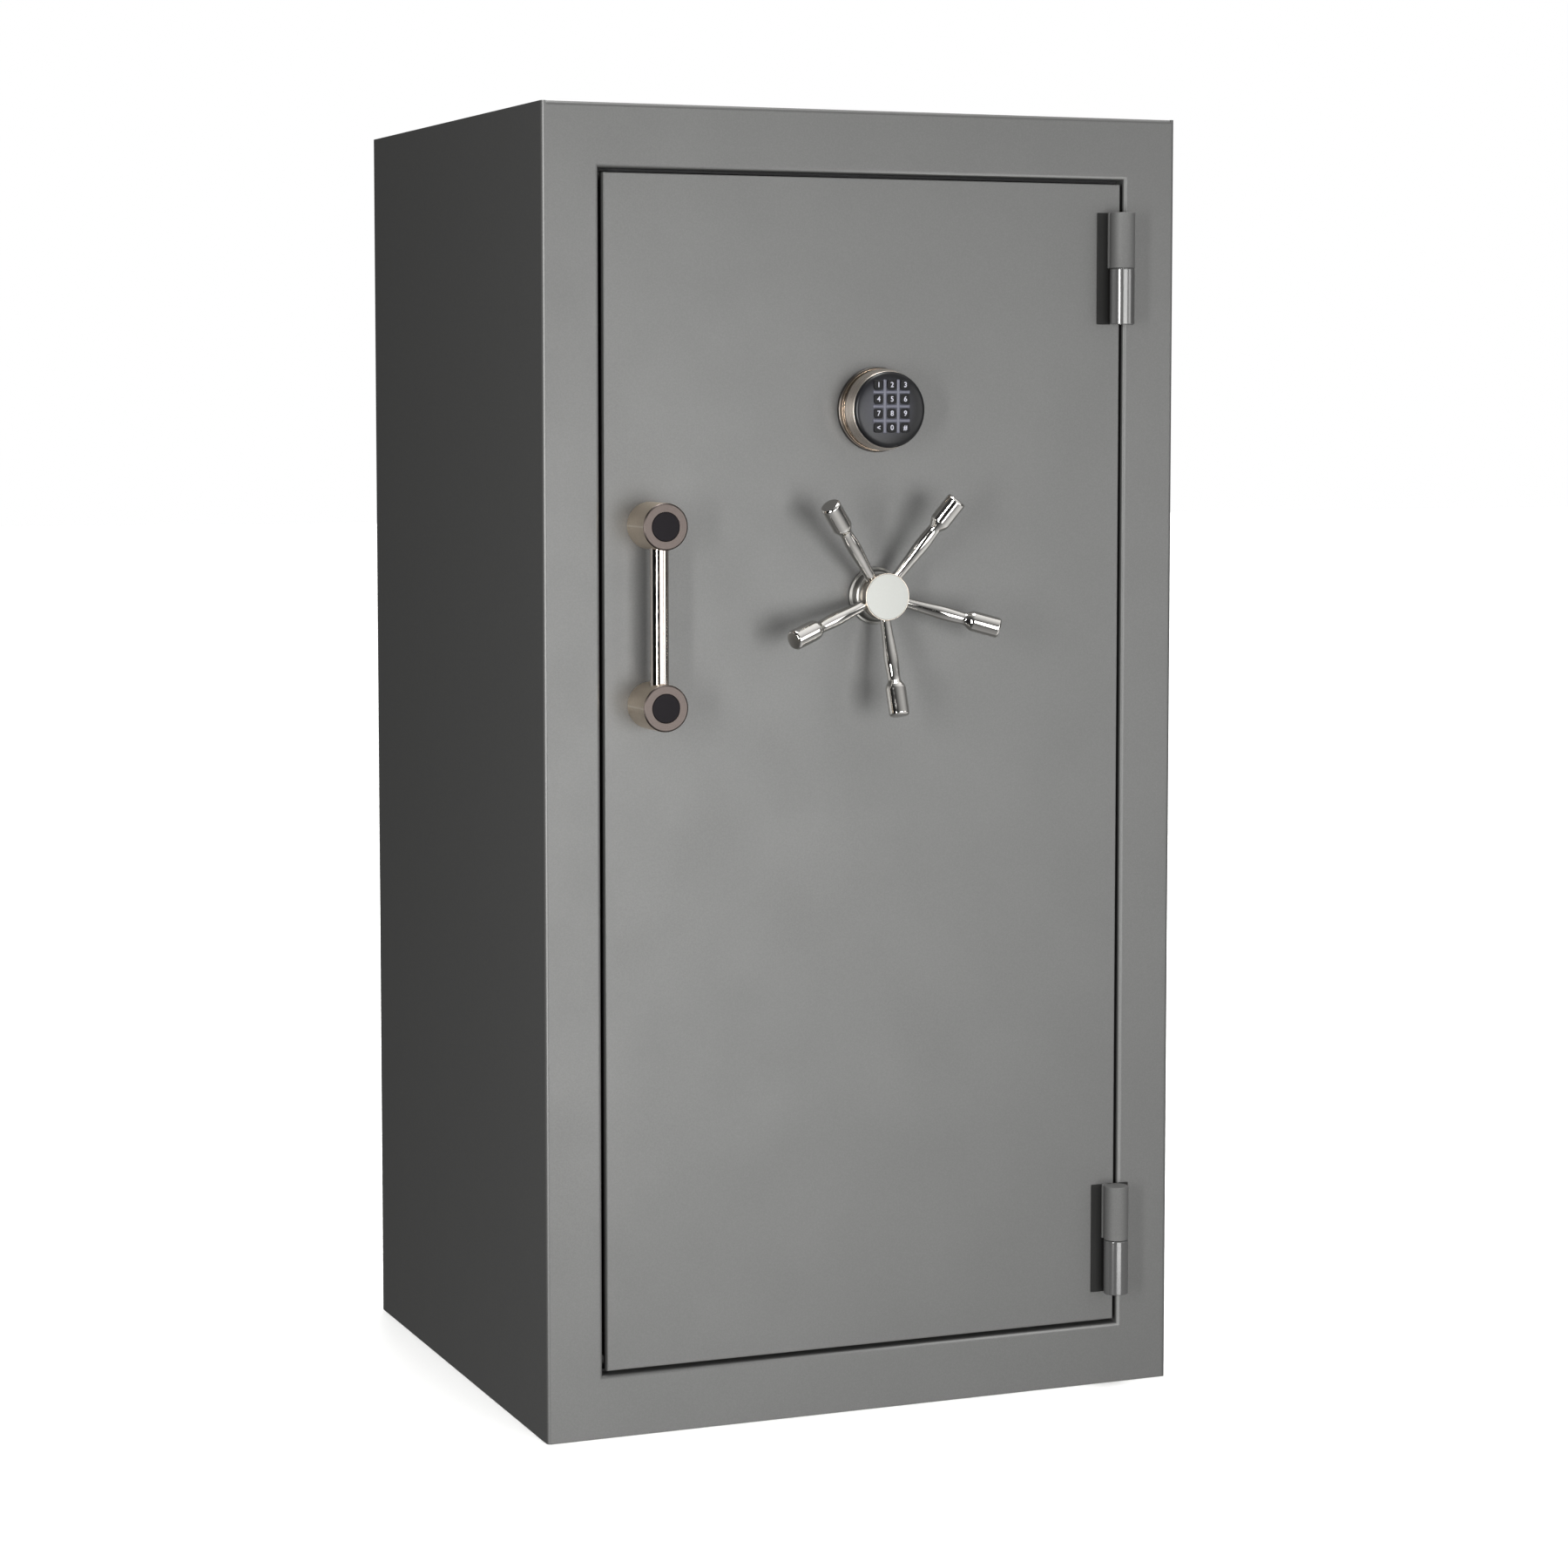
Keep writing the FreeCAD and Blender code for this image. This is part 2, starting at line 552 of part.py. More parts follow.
def pull_handle():
    """Round bar between two thick posts, each bolted through the door plate."""
    posts, caps, bolts = [], [], []
    for place, z in post_places():
        axis = ("pull_x", depth("0"), z)
        blank = turned(f"post_{place}_blank", [
            ("0", "post_radius"),
            ("post_out - post_ease", "post_radius"),
            ("post_out", "post_radius - post_ease"),
        ], axis, FORWARD)
        socket = through_hole(f"post_{place}_socket", "cap_radius", "pull_x", z,
                              "0 - post_out - 1", "cap_depth - post_out")
        thread = through_hole(f"post_{place}_thread", "pull_bolt_radius", "pull_x", z,
                              "0 - pull_bolt_reach", "1")
        posts.append(cut(f"post_{place}", blank, [socket, thread]))
        caps.append(turned(f"cap_{place}", [
            ("post_out - cap_depth", "cap_radius"),
            ("post_out + 0.4", "cap_radius"),
            ("post_out + 1", "cap_radius - 1"),
        ], axis, FORWARD))
        shank = through_hole(f"bolt_{place}_shank", "pull_bolt_radius", "pull_x", z,
                             "0 - pull_bolt_reach", "door_plate")
        head = through_hole(f"bolt_{place}_head", "pull_bolt_head", "pull_x", z,
                            "door_plate", "door_plate + pull_bolt_head_tall")
        bolts.append(fuse(f"pull_bolt_{place}", [shank, head]))
    node(group("pull_posts", posts))
    node(group("pull_post_caps", caps))
    node(group("pull_handle_bolts", bolts))
    rod = cylinder("pull_rod", "pull_bar_radius", "pull_spacing",
                   ("pull_x", depth("0 - pull_bar_out"), "pull_z - pull_spacing / 2"))
    trims = [through_hole(f"rod_trim_{place}", "post_radius", "pull_x", z, "0 - post_out", "0")
             for place, z in post_places()]
    node(cut("pull_bar", rod, trims))


# ---------------------------------------------------------------- five-spoke handle

def handle_axis(start):
    return ("handle_x", depth(start), "handle_z")


def handle():
    """Collar and bush stay on the door; spindle, hub, hub disc and spokes turn together."""
    collar = turned("collar_blank", [
        ("0", "collar_radius"),
        ("4", "collar_radius"),
        ("4", "collar_radius - 3"),
        ("collar_out - 2", "collar_radius - 4"),
        ("collar_out", "collar_radius - 7"),
    ], handle_axis("0"), FORWARD)
    bore = cylinder("collar_bore", "bush_radius", "collar_out + 2", handle_axis("1"), FORWARD)
    node(cut("handle_collar", collar, [bore]))
    bush = cylinder("bush_blank", "bush_radius", "pan_back + collar_out",
                    handle_axis("0 - collar_out"), INWARD)
    bush_bore = cylinder("bush_bore", "spindle_radius + spindle_play", "pan_back + collar_out + 2",
                         handle_axis("0 - collar_out - 1"), INWARD)
    node(cut("spindle_bush", bush, [bush_bore]))
    node(cylinder("handle_spindle", "spindle_radius", "hub_out - socket_cover + rack_back + 1",
                  handle_axis("socket_cover - hub_out"), INWARD))
    hub = turned("hub_blank", [
        ("collar_out + 0.5", "hub_radius - 4"),
        ("collar_out + 3", "hub_radius - 1.5"),
        ("hub_out - 4", "hub_radius"),
        ("hub_out", "hub_radius"),
    ], handle_axis("0"), FORWARD)
    socket = cylinder("hub_socket", "spindle_radius", "hub_out - socket_cover", handle_axis("0"), FORWARD)
    recess = cylinder("hub_recess", "hub_radius - disc_rim", "disc_sunk + 1",
                      handle_axis("disc_sunk - hub_out"), FORWARD)
    node(cut("handle_hub", hub, [socket, recess]))
    node(turned("handle_hub_disc", [
        ("hub_out - disc_sunk", "hub_radius - disc_rim"),
        ("hub_out + 0.6", "hub_radius - disc_rim"),
        ("hub_out + 1.2", "hub_radius - disc_rim - 1"),
    ], handle_axis("0"), FORWARD))
    spokes()


def spokes():
    """Five turned spokes that lean away from the door; each ends in a thick grip."""
    stations = [
        ("6", "spoke_root"),
        ("16", "spoke_root"),
        ("spoke_length - 68", "spoke_swell"),
        ("spoke_length - 58", "spoke_swell"),
        ("spoke_length - 44", "spoke_neck"),
        ("spoke_length - 39", "spoke_neck"),
        ("spoke_length - 33", "spoke_grip"),
        ("spoke_length - 1.8", "spoke_grip"),
        ("spoke_length", "spoke_grip - 1.7"),
    ]
    rise = math.radians(cell("spoke_rise"))
    start = cell("spoke_start")
    centre = Vector(cell("handle_x"), -cell("body_depth") / 2 - cell("spoke_root_out"), cell("handle_z"))
    hub_side = cylinder("spoke_hub_side", "hub_radius", "hub_out", handle_axis("0"), FORWARD)
    arms = []
    for number in range(int(cell("spoke_count"))):
        turn = math.radians(cell("spoke_turn") + 360 * number / cell("spoke_count"))
        outward = Vector(math.cos(turn), 0, math.sin(turn))
        along = outward * math.cos(rise) + Vector(0, -1, 0) * math.sin(rise)
        blank = turned(f"spoke_{number}_blank", stations)
        for axis in "xyz":
            blank.setExpression(f"Placement.Base.{axis}", None)
        blank.Placement = Placement(centre + outward * start, Rotation(Vector(0, 0, 1), along))
        arms.append(cut(f"spoke_{number}", blank, [hub_side]))
    return node(group("handle_spokes", arms))


# ---------------------------------------------------------------- boltwork

TOOTH_TIP = 1.2
TOOTH_ROOT = 3.9
TOOTH_HEIGHT = 4.0
DEDENDUM = 2.3


def tooth(label, thick, base, rotation):
    """One straight-sided tooth, root down, centred on its base point; its width runs along local Z."""
    obj = part("Part::Wedge", label)
    obj.Xmin, obj.Xmax = -TOOTH_ROOT / 2, TOOTH_ROOT / 2
    obj.X2min, obj.X2max = -TOOTH_TIP / 2, TOOTH_TIP / 2
    obj.Ymin, obj.Ymax = -0.2, TOOTH_HEIGHT
    obj.Zmin, obj.Z2min = 0, 0
    bind(obj, Zmax=thick, Z2max=thick)
    obj.Placement = Placement(base, rotation)
    return obj


def pinion():
    """Twenty teeth on the spindle, wide enough for two layers of racks."""
    root = f"module * teeth / 2 - {DEDENDUM}"
    wide = "rack_back - pinion_front"
    blank = cylinder("pinion_root", root, wide, handle_axis("pinion_front"), INWARD)
    root_radius = cell("module") * cell("teeth") / 2 - DEDENDUM
    centre = Vector(cell("handle_x"), -cell("body_depth") / 2 + cell("pinion_front"), cell("handle_z"))
    teeth = []
    for number in range(int(cell("teeth"))):
        angle = 360 * number / cell("teeth")
        turn = Rotation(Vector(0, 1, 0), -angle)
        outward = turn.multVec(Vector(1, 0, 0))
        stand = Rotation(outward.cross(Vector(0, 1, 0)), outward, Vector(0, 1, 0), "ZXY")
        teeth.append(tooth(f"pinion_tooth_{number}", wide, centre + outward * root_radius, stand))
    bore = cylinder("pinion_bore", "spindle_radius", f"{wide} + 2", handle_axis("pinion_front - 1"), INWARD)
    return node(cut("pinion", fuse("pinion_blank", [blank, *teeth]), [bore]))


def rack(label, bar, outward, forward, front, back):
    """A bar with teeth towards the pinion. The gap between two teeth faces the pinion's own tooth at rest."""
    pitch = math.pi * cell("module")
    throw = cell("module") * cell("teeth") / 2 * math.pi / 2
    root_distance = cell("module") * cell("teeth") / 2 + DEDENDUM
    centre = Vector(cell("handle_x"), -cell("body_depth") / 2 + cell(front), cell("handle_z"))
    inward = outward * -1
    stand = Rotation(inward.cross(Vector(0, 1, 0)), inward, Vector(0, 1, 0), "ZXY")
    first = -int(throw / pitch) - 3
    teeth = []
    for number in range(first, 3):
        spot = centre + outward * root_distance + forward * ((number + 0.5) * pitch)
        teeth.append(tooth(f"{label}_tooth_{number - first}", f"{back} - {front}", spot, stand))
    return fuse(label, [*bar, *teeth])


PITCH_RADIUS = "( module * teeth / 2 )"
RACK_GAP = f"( {PITCH_RADIUS} + {DEDENDUM} )"


def side_boltwork():
    """Left and right bars, each with four bolts and one horizontal rack in the front layer."""
    layer = "rack_split - layer_gap - rack_front"
    y = depth("rack_front")
    bar_low = "bolt_first - bar_overhang"
    bar_tall = "( bolt_count - 1 ) * bolt_pitch + 2 * bar_overhang"
    bar_deep = "rack_back - rack_front"
    bolt_length = f"{PAN_WIDE} / 2 - bolt_bar_x - bolt_sunk"
    for side, sign, rotation in (("left", "0 -", LEFT), ("right", "0 +", RIGHT)):
        left_side = side == "left"
        bar_x = "0 - bolt_bar_x" if left_side else "bolt_bar_x - bolt_bar"
        upright = box(f"{side}_upright", ("bolt_bar", bar_deep, bar_tall), (bar_x, y, bar_low))
        if left_side:
            arm = box("left_arm", (f"bolt_bar_x - bolt_bar + handle_x + rack_tail", layer, "rack_bar"),
                      ("bolt_bar - bolt_bar_x", y, f"handle_z - {RACK_GAP} - rack_bar"))
            outward, forward = Vector(0, 0, -1), Vector(-1, 0, 0)
        else:
            arm = box("right_arm", (f"bolt_bar_x - bolt_bar - handle_x + rack_tail", layer, "rack_bar"),
                      (f"handle_x - rack_tail", y, f"handle_z + {RACK_GAP}"))
            outward, forward = Vector(0, 0, 1), Vector(1, 0, 0)
        layer_end = "rack_split - layer_gap"
        node(rack(f"{side}_bolt_bar", [upright, arm], outward, forward, "rack_front", layer_end))
        bolts = []
        for number, z in enumerate(bolt_heights()):
            base = (f"{sign} bolt_bar_x", depth("bolt_depth"), z)
            bolts.append(turned(f"{side}_bolt_{number}", [
                ("0", "bolt_radius"),
                (f"{bolt_length} - bolt_chamfer", "bolt_radius"),
                (bolt_length, "bolt_radius - bolt_chamfer"),
            ], base, rotation))
        node(group(f"{side}_bolts", bolts))


def end_boltwork():
    """Top and bottom links, each with one bolt and one upright rack in the back layer."""
    layer = "rack_back - rack_split - layer_gap"
    y = depth("rack_split + layer_gap")
    top_end = f"( {PAN_BASE} + {PAN_TALL} - bolt_sunk )"
    low_end = f"( {PAN_BASE} + bolt_sunk )"
    tail = "( handle_z - rack_tail )"
    link = box("top_bar", ("rack_bar", layer, f"{top_end} - bolt_short - {tail}"),
               (f"handle_x - {RACK_GAP} - rack_bar", y, tail))
    tab_top = "( lock_z - lock_bolt_height / 2 - lock_tab_gap )"
    tab = box("lock_tab", ("rack_bar / 2 + 11", layer, "lock_tab"),
              (f"handle_x - {RACK_GAP} - rack_bar / 2", y, f"{tab_top} - lock_tab"))
    node(rack("top_bolt_link", [link, tab], Vector(-1, 0, 0), Vector(0, 0, 1), "rack_split", "rack_back"))
    tail = "( handle_z + rack_tail )"
    link = box("bottom_bar", ("rack_bar", layer, f"{tail} - ( {low_end} + bolt_short )"),
               (f"handle_x + {RACK_GAP}", y, f"{low_end} + bolt_short"))
    node(rack("bottom_bolt_link", [link], Vector(1, 0, 0), Vector(0, 0, -1), "rack_split", "rack_back"))
    stations = [
        ("0", "bolt_radius"),
        ("bolt_short - bolt_chamfer", "bolt_radius"),
        ("bolt_short", "bolt_radius - bolt_chamfer"),
    ]
    bolt_y = depth("bolt_depth")
    node(turned("top_bolt", stations, (TOP_LINK_X, bolt_y, f"{top_end} - bolt_short")))
    node(turned("bottom_bolt", stations, (BOTTOM_LINK_X, bolt_y, f"{low_end} + bolt_short"),
                Rotation(Vector(1, 0, 0), 180)))


# ---------------------------------------------------------------- lock and keypad

def lock():
    """Hard plate on the pan, lock case over it, and the bolt that slides out of the case's left side."""
    low = "lock_z - lock_height / 2"
    plate = box("hard_plate_blank",
                ("lock_width + 2 * hard_plate_rim", "lock_front - pan_back",
                 "lock_height + 2 * hard_plate_rim"),
                ("lock_x - hard_plate_shift", depth("pan_back"), f"{low} - hard_plate_rim"))
    node(cut("hard_plate", plate, [
        through_hole("hard_plate_hole", "cable_radius", "keypad_x", "keypad_z",
                     "pan_back - 1", "lock_front + 1"),
    ]))
    case = box("lock_case_blank", ("lock_width", "lock_back - lock_front", "lock_height"),
               ("lock_x", depth("lock_front"), low))
    slot_size = ("lock_bolt_length + lock_throw + 1", "lock_bolt_back - lock_bolt_front + 2 * lock_play",
                 "lock_bolt_height + 2 * lock_play")
    slot = box("lock_slot", slot_size,
               ("lock_x - 1", depth("lock_bolt_front - lock_play"),
                "lock_z - lock_bolt_height / 2 - lock_play"))
    node(cut("lock_case", case, [slot]))
    node(box("lock_bolt", ("lock_bolt_length", "lock_bolt_back - lock_bolt_front", "lock_bolt_height"),
             ("lock_x + lock_proud", depth("lock_bolt_front"), "lock_z - lock_bolt_height / 2")))


KEY_ROWS = (("1", "2", "3"), ("4", "5", "6"), ("7", "8", "9"), ("clear", "0", "enter"))


def key_places():
    """Name, X and Z of every key."""
    places = []
    for row, names in enumerate(KEY_ROWS):
        for column, name in enumerate(names):
            x = f"keypad_x + {column - 1} * key_pitch_x"
            z = f"keypad_z + key_rise + {1.5 - row} * key_pitch_z"
            places.append((name, x, z))
    return places


def key_block(label, width, height, back):
    """A square block with rounded corners that stands out from its back plane."""
    x, back_depth, z = back
    blank = box(f"{label}_blank", (width, height, width),
                (f"{x} - ( {width} ) / 2", depth(f"{back_depth} - ( {height} )"), f"{z} - ( {width} ) / 2"))
    return rounded(label, blank, "key_round", lambda edge: runs_along(edge, "y"))


def keypad():
    """Stepped round housing with a domed black face, twelve sprung keys and a battery behind them."""
    axis = ("keypad_x", depth("0"), "keypad_z")
    node(turned("keypad_base", [
        ("0", "keypad_radius"),
        ("4", "keypad_radius"),
        ("5", "keypad_radius - 1"),
    ], axis, FORWARD))
    shell = turned("housing_blank", [
        ("5", "keypad_radius - 1.5"),
        ("11", "keypad_radius - 1.5"),
        ("11", "keypad_radius - 4"),
        ("19", "keypad_radius - 4"),
        ("19", "keypad_radius - 1.7"),
        ("face_out - 8", "face_radius"),
    ], axis, FORWARD)
    hollow = turned("housing_hollow", [
        ("5", "keypad_radius - 6"),
        ("face_out - 12", "face_radius - 4"),
        ("face_out - 7", "face_radius - 4"),
    ], axis, FORWARD)
    node(cut("keypad_housing", shell, [hollow]))
    face = turned("face_blank", [
        ("face_out - 8", "face_radius"),
        ("face_out - 4", "face_radius"),
        ("face_out - 2", "face_radius - 1.5"),
        ("face_out", "face_radius - 6"),
    ], axis, FORWARD)
    pockets = [key_block(f"pocket_{name}", "key_width + 2 * key_play", "key_height + 1",
                         (x, "0 - face_out + key_height", z))
               for name, x, z in key_places()]
    node(cut("keypad_face", face, pockets))
    node(box("keypad_battery", ("battery_length", "battery_width", "battery_height"),
             ("keypad_x - battery_length / 2", depth("0 - battery_front"), "keypad_z - battery_height / 2")))
    for name, x, z in key_places():
        node(key_block(f"key_{name}", "key_width", "key_height - key_lift + key_proud",
                       (x, "0 - face_out + key_height - key_lift", z)))


# ---------------------------------------------------------------- build and write

cabinet_walls()
back_plate()
front_frame()
opening_surround()
cabinet_inside()
storage()
barrel_rack()
hinges()
door_shell()
bolt_channels()
door_lining()
pull_handle()
handle()
pinion()
side_boltwork()
end_boltwork()
lock()
keypad()
doc.recompute()

for obj in doc.Objects:
    if "Invalid" in obj.State or "Error" in obj.State:
        raise RuntimeError(f"{obj.Label}: {obj.State}")

os.makedirs("parts", exist_ok=True)
for obj in nodes:
    shape = obj.Shape
    if shape.isNull() or not shape.isValid() or not shape.Solids:
        raise RuntimeError(f"{obj.Label}: the shape is not a valid solid")
    shape.exportStep(f"parts/{obj.Label}.step")
print(len(nodes), "sub-parts written")
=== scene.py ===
from math import cos, pi, radians, sin

import bmesh
import bpy
from mathutils import Matrix, Vector


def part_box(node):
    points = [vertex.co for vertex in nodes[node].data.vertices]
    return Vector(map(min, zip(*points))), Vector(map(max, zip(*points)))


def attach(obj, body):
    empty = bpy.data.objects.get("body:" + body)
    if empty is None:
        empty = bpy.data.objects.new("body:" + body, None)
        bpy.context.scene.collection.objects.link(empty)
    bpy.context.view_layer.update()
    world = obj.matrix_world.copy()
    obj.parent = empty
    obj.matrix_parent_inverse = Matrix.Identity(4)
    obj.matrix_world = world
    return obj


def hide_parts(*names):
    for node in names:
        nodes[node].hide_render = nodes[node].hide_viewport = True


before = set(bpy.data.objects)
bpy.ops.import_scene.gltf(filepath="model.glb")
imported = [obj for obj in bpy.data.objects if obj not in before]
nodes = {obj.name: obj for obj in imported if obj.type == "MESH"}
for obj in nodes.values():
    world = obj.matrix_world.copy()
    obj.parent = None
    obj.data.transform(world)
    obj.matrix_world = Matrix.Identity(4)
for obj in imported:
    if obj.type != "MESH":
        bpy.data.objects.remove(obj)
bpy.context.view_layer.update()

# ---------------------------------------- camera and studio
# A long lens at the left of the safe, a little below its top, on a pale floor. A broad low softbox stands
# in front and a tall strip at the left, with weak fills at the right and behind.


def new_object(name, data):
    """An object in the scene."""
    item = bpy.data.objects.new(name, data)
    bpy.context.scene.collection.objects.link(item)
    return item


def mesh_object(name, shape):
    """An object made of a bmesh, which is used up."""
    mesh = bpy.data.meshes.new(name)
    shape.to_mesh(mesh)
    shape.free()
    return new_object(name, mesh)


camera = new_object("camera", bpy.data.cameras.new("camera"))
camera.location = (-1.683, -4.2193, 1.1761)
camera.rotation_euler = (radians(90 - 4.256), 0, radians(-22.12))
camera.data.lens = 84.604
camera.data.sensor_width = 36
camera.data.shift_y = -0.07
bpy.context.scene.camera = camera
bpy.context.scene.view_settings.view_transform = "Standard"


def linear(hexadecimal):
    """A linear colour with alpha from an sRGB hex value."""
    channels = [int(hexadecimal[place:place + 2], 16) / 255 for place in (1, 3, 5)]
    return tuple(c / 12.92 if c <= 0.04045 else ((c + 0.055) / 1.055) ** 2.4 for c in channels) + (1.0,)


def add(tree, kind, inputs=(), to=None, **settings):
    """Add a node, make its settings, fill or link its inputs, and link it to the surface input named."""
    node = tree.nodes.new(kind)
    for name, value in settings.items():
        setattr(node, name, value)
    for place, value in dict(inputs).items():
        if isinstance(value, bpy.types.NodeSocket):
            tree.links.new(value, node.inputs[place])
        else:
            node.inputs[place].default_value = value
    if to:
        tree.links.new(next(socket for socket in node.outputs if socket.enabled),
                       tree.nodes["Principled BSDF"].inputs[to])
    return node


world = bpy.data.worlds.new("studio")
world.use_nodes = True
bpy.context.scene.world = world
tree = world.node_tree
tree.nodes.clear()
direction = add(tree, "ShaderNodeTexCoord").outputs["Generated"]
split = add(tree, "ShaderNodeSeparateXYZ", {0: direction})
upward = add(tree, "ShaderNodeMapRange", {0: split.outputs["Z"], 1: 0.15, 2: 0.9, 3: 0.08, 4: 1.5})
rightward = add(tree, "ShaderNodeMapRange", {0: split.outputs["X"], 1: -0.6, 2: 0.7, 3: 0.08, 4: 1.0})
# The lit floor glows from below.
below = add(tree, "ShaderNodeMapRange", {0: split.outputs["Z"], 1: -0.75, 2: -0.1, 3: 0.9, 4: 0.0})
both = add(tree, "ShaderNodeMath", {0: upward.outputs[0], 1: below.outputs[0]}, operation="ADD")
strength = add(tree, "ShaderNodeMath", {0: both.outputs[0], 1: rightward.outputs[0]}, operation="MULTIPLY")
dim_room = add(tree, "ShaderNodeBackground", {"Color": linear("#ffffff"), "Strength": strength.outputs[0]})
white_page = add(tree, "ShaderNodeBackground", {"Color": linear("#ffffff"), "Strength": 1.0})
is_camera = add(tree, "ShaderNodeLightPath").outputs["Is Camera Ray"]
either = add(tree, "ShaderNodeMixShader", {0: is_camera, 1: dim_room.outputs[0], 2: white_page.outputs[0]})
add(tree, "ShaderNodeOutputWorld", {0: either.outputs[0]})


def softbox(name, place, target, size, watts):
    """A rectangular area light that faces its target."""
    light = bpy.data.lights.new(name, "AREA")
    light.shape = "RECTANGLE"
    light.size, light.size_y = size
    light.energy = watts
    lamp = new_object(name, light)
    lamp.location = place
    lamp.rotation_euler = (Vector(target) - Vector(place)).to_track_quat("-Z", "Y").to_euler()


softbox("front_softbox", (0.5, -5.0, 0.35), (0, 0, 0.75), (3.2, 2.8), 165)
softbox("left_strip", (-3.4, -3.1, 0.9), (0, 0, 0.8), (0.5, 2.6), 220)
softbox("right_fill", (3.6, -3.6, 1.2), (0, 0, 0.8), (2.0, 2.2), 40)
softbox("back_fill", (1.5, 4.5, 2.2), (0, 0, 0.8), (2.4, 2.4), 90)

# The floor is lit from straight above, which leaves the upright faces to the softboxes.
sun = bpy.data.lights.new("overhead", "SUN")
sun.energy = 3.3
sun.angle = radians(25)
new_object("overhead", sun)

shape = bmesh.new()
bmesh.ops.create_grid(shape, x_segments=1, y_segments=1, size=30)
bmesh.ops.translate(shape, vec=(0, 0, -0.0005), verts=shape.verts)
floor = mesh_object("studio_floor", shape)
floor.visible_diffuse = False
floor.visible_glossy = False
floor.visible_shadow = False


def new_material(name, **uniform):
    """A node material; the uniform values go on the Principled shader's own sockets."""
    material = bpy.data.materials.new(name)
    material.use_nodes = True
    shader = material.node_tree.nodes["Principled BSDF"]
    for socket, value in uniform.items():
        shader.inputs[socket.replace("_", " ")].default_value = value
    return material, material.node_tree


def object_place(tree):
    return add(tree, "ShaderNodeTexCoord").outputs["Object"]


def grained_material(name, light, dark, scale, detail=2.0, rough=None, **uniform):
    """One fine grain, its scale per metre, tints the surface and also its roughness if a range is given."""
    material, tree = new_material(name, **uniform)
    grain = add(tree, "ShaderNodeTexNoise", {"Vector": object_place(tree), "Scale": scale, "Detail": detail})
    add(tree, "ShaderNodeMix", {0: grain.outputs[0], 6: linear(light), 7: linear(dark)},
        to="Base Color", data_type="RGBA")
    if rough:
        add(tree, "ShaderNodeMapRange", {0: grain.outputs[0], 1: 0.3, 2: 0.7, 3: rough[0], 4: rough[1]},
            to="Roughness")
    return material


# Matt photographer's paper: almost white, with a faint unevenness more than a metre across.
floor.data.materials.append(grained_material("matt background paper", "#f4f4f3", "#f8f8f7", 0.8,
                                             Roughness=0.9, Specular_IOR_Level=0.1))

# ---------------------------------------- cabinet shell, front frame and back
# Four 5 mm plates welded into a tube with rolled front corners, a front frame whose opening has a rolled
# edge, and a back plate. All are sprayed in one metallic powder coat.


def powder_coat_material(name, light, dark, peel, low, high):
    """Metallic powder coat: aluminium flakes give a soft sheen, and the melt leaves a fine orange peel."""
    material, tree = new_material(name, Metallic=0.55)
    place = object_place(tree)
    # Cloudy flake density about 90 mm across. Single flakes are 1.6 mm, coarser than real, so that they show.
    cloud = add(tree, "ShaderNodeTexNoise", {"Vector": place, "Scale": 11.0, "Detail": 3.0})
    flake = add(tree, "ShaderNodeTexNoise", {"Vector": place, "Scale": 620.0, "Detail": 1.0})
    tint = add(tree, "ShaderNodeMix", {0: cloud.outputs[0], 6: linear(light), 7: linear(dark)},
               data_type="RGBA")
    fleck = add(tree, "ShaderNodeMapRange", {0: flake.outputs[0], 1: 0.35, 2: 0.7, 3: 0.95, 4: 1.05})
    add(tree, "ShaderNodeMix", {0: 1.0, 6: tint.outputs[2], 7: fleck.outputs[0]},
        to="Base Color", data_type="RGBA", blend_type="MULTIPLY")
    add(tree, "ShaderNodeMapRange", {0: cloud.outputs[0], 1: 0.3, 2: 0.7, 3: low, 4: high}, to="Roughness")
    # Orange peel about 3.5 mm across.
    orange_peel = add(tree, "ShaderNodeTexNoise", {"Vector": place, "Scale": 280.0, "Detail": 1.5})
    add(tree, "ShaderNodeBump", {"Strength": peel, "Distance": 0.0004, "Height": orange_peel.outputs[0]},
        to="Normal")
    return material


powder_coat = powder_coat_material("grey metallic powder coat", "#5f5f5e", "#5c5c5b", 0.12, 0.42, 0.45)


def finish_piece(name, shape, body, materials, slot, *replaced, crease=32):
    """Turn a bmesh into a smooth-shaded piece that rides on its body."""
    piece = mesh_object(name, shape)
    for material in materials:
        piece.data.materials.append(material)
    piece.data.shade_smooth()
    piece.data.set_sharp_from_angle(angle=radians(crease))
    flatten = piece.modifiers.new("flat faces stay flat", "WEIGHTED_NORMAL")
    flatten.keep_sharp = True
    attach(piece, body)
    if replaced:
        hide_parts(*replaced)
    return piece


def merged(node):
    """A bmesh of a CAD node with its loose triangles joined up."""
    shape = bmesh.new()
    shape.from_mesh(nodes[node].data)
    bmesh.ops.remove_doubles(shape, verts=shape.verts, dist=1e-6)
    bmesh.ops.dissolve_limit(shape, angle_limit=radians(0.5), verts=shape.verts, edges=shape.edges)
    return shape


def give_material(material, *names):
    """Give a CAD node that keeps its shape a better material."""
    for name in names:
        nodes[name].data.materials.clear()
        nodes[name].data.materials.append(material)


finish_piece("body_wrap", merged("cabinet_walls"), "cabinet", [powder_coat], "body_paint", "cabinet_walls")
finish_piece("front_frame_plate", merged("front_frame"), "cabinet", [powder_coat], "body_paint",
             "front_frame")
give_material(powder_coat, "back_plate", "opening_jamb", "bolt_strike")

# ---------------------------------------- weld beads on the back
# The back plate is welded to the walls. The rippled bead lies 0.1 mm below the back face, inside the
# outline of the steel, so it doesn't show from outside.


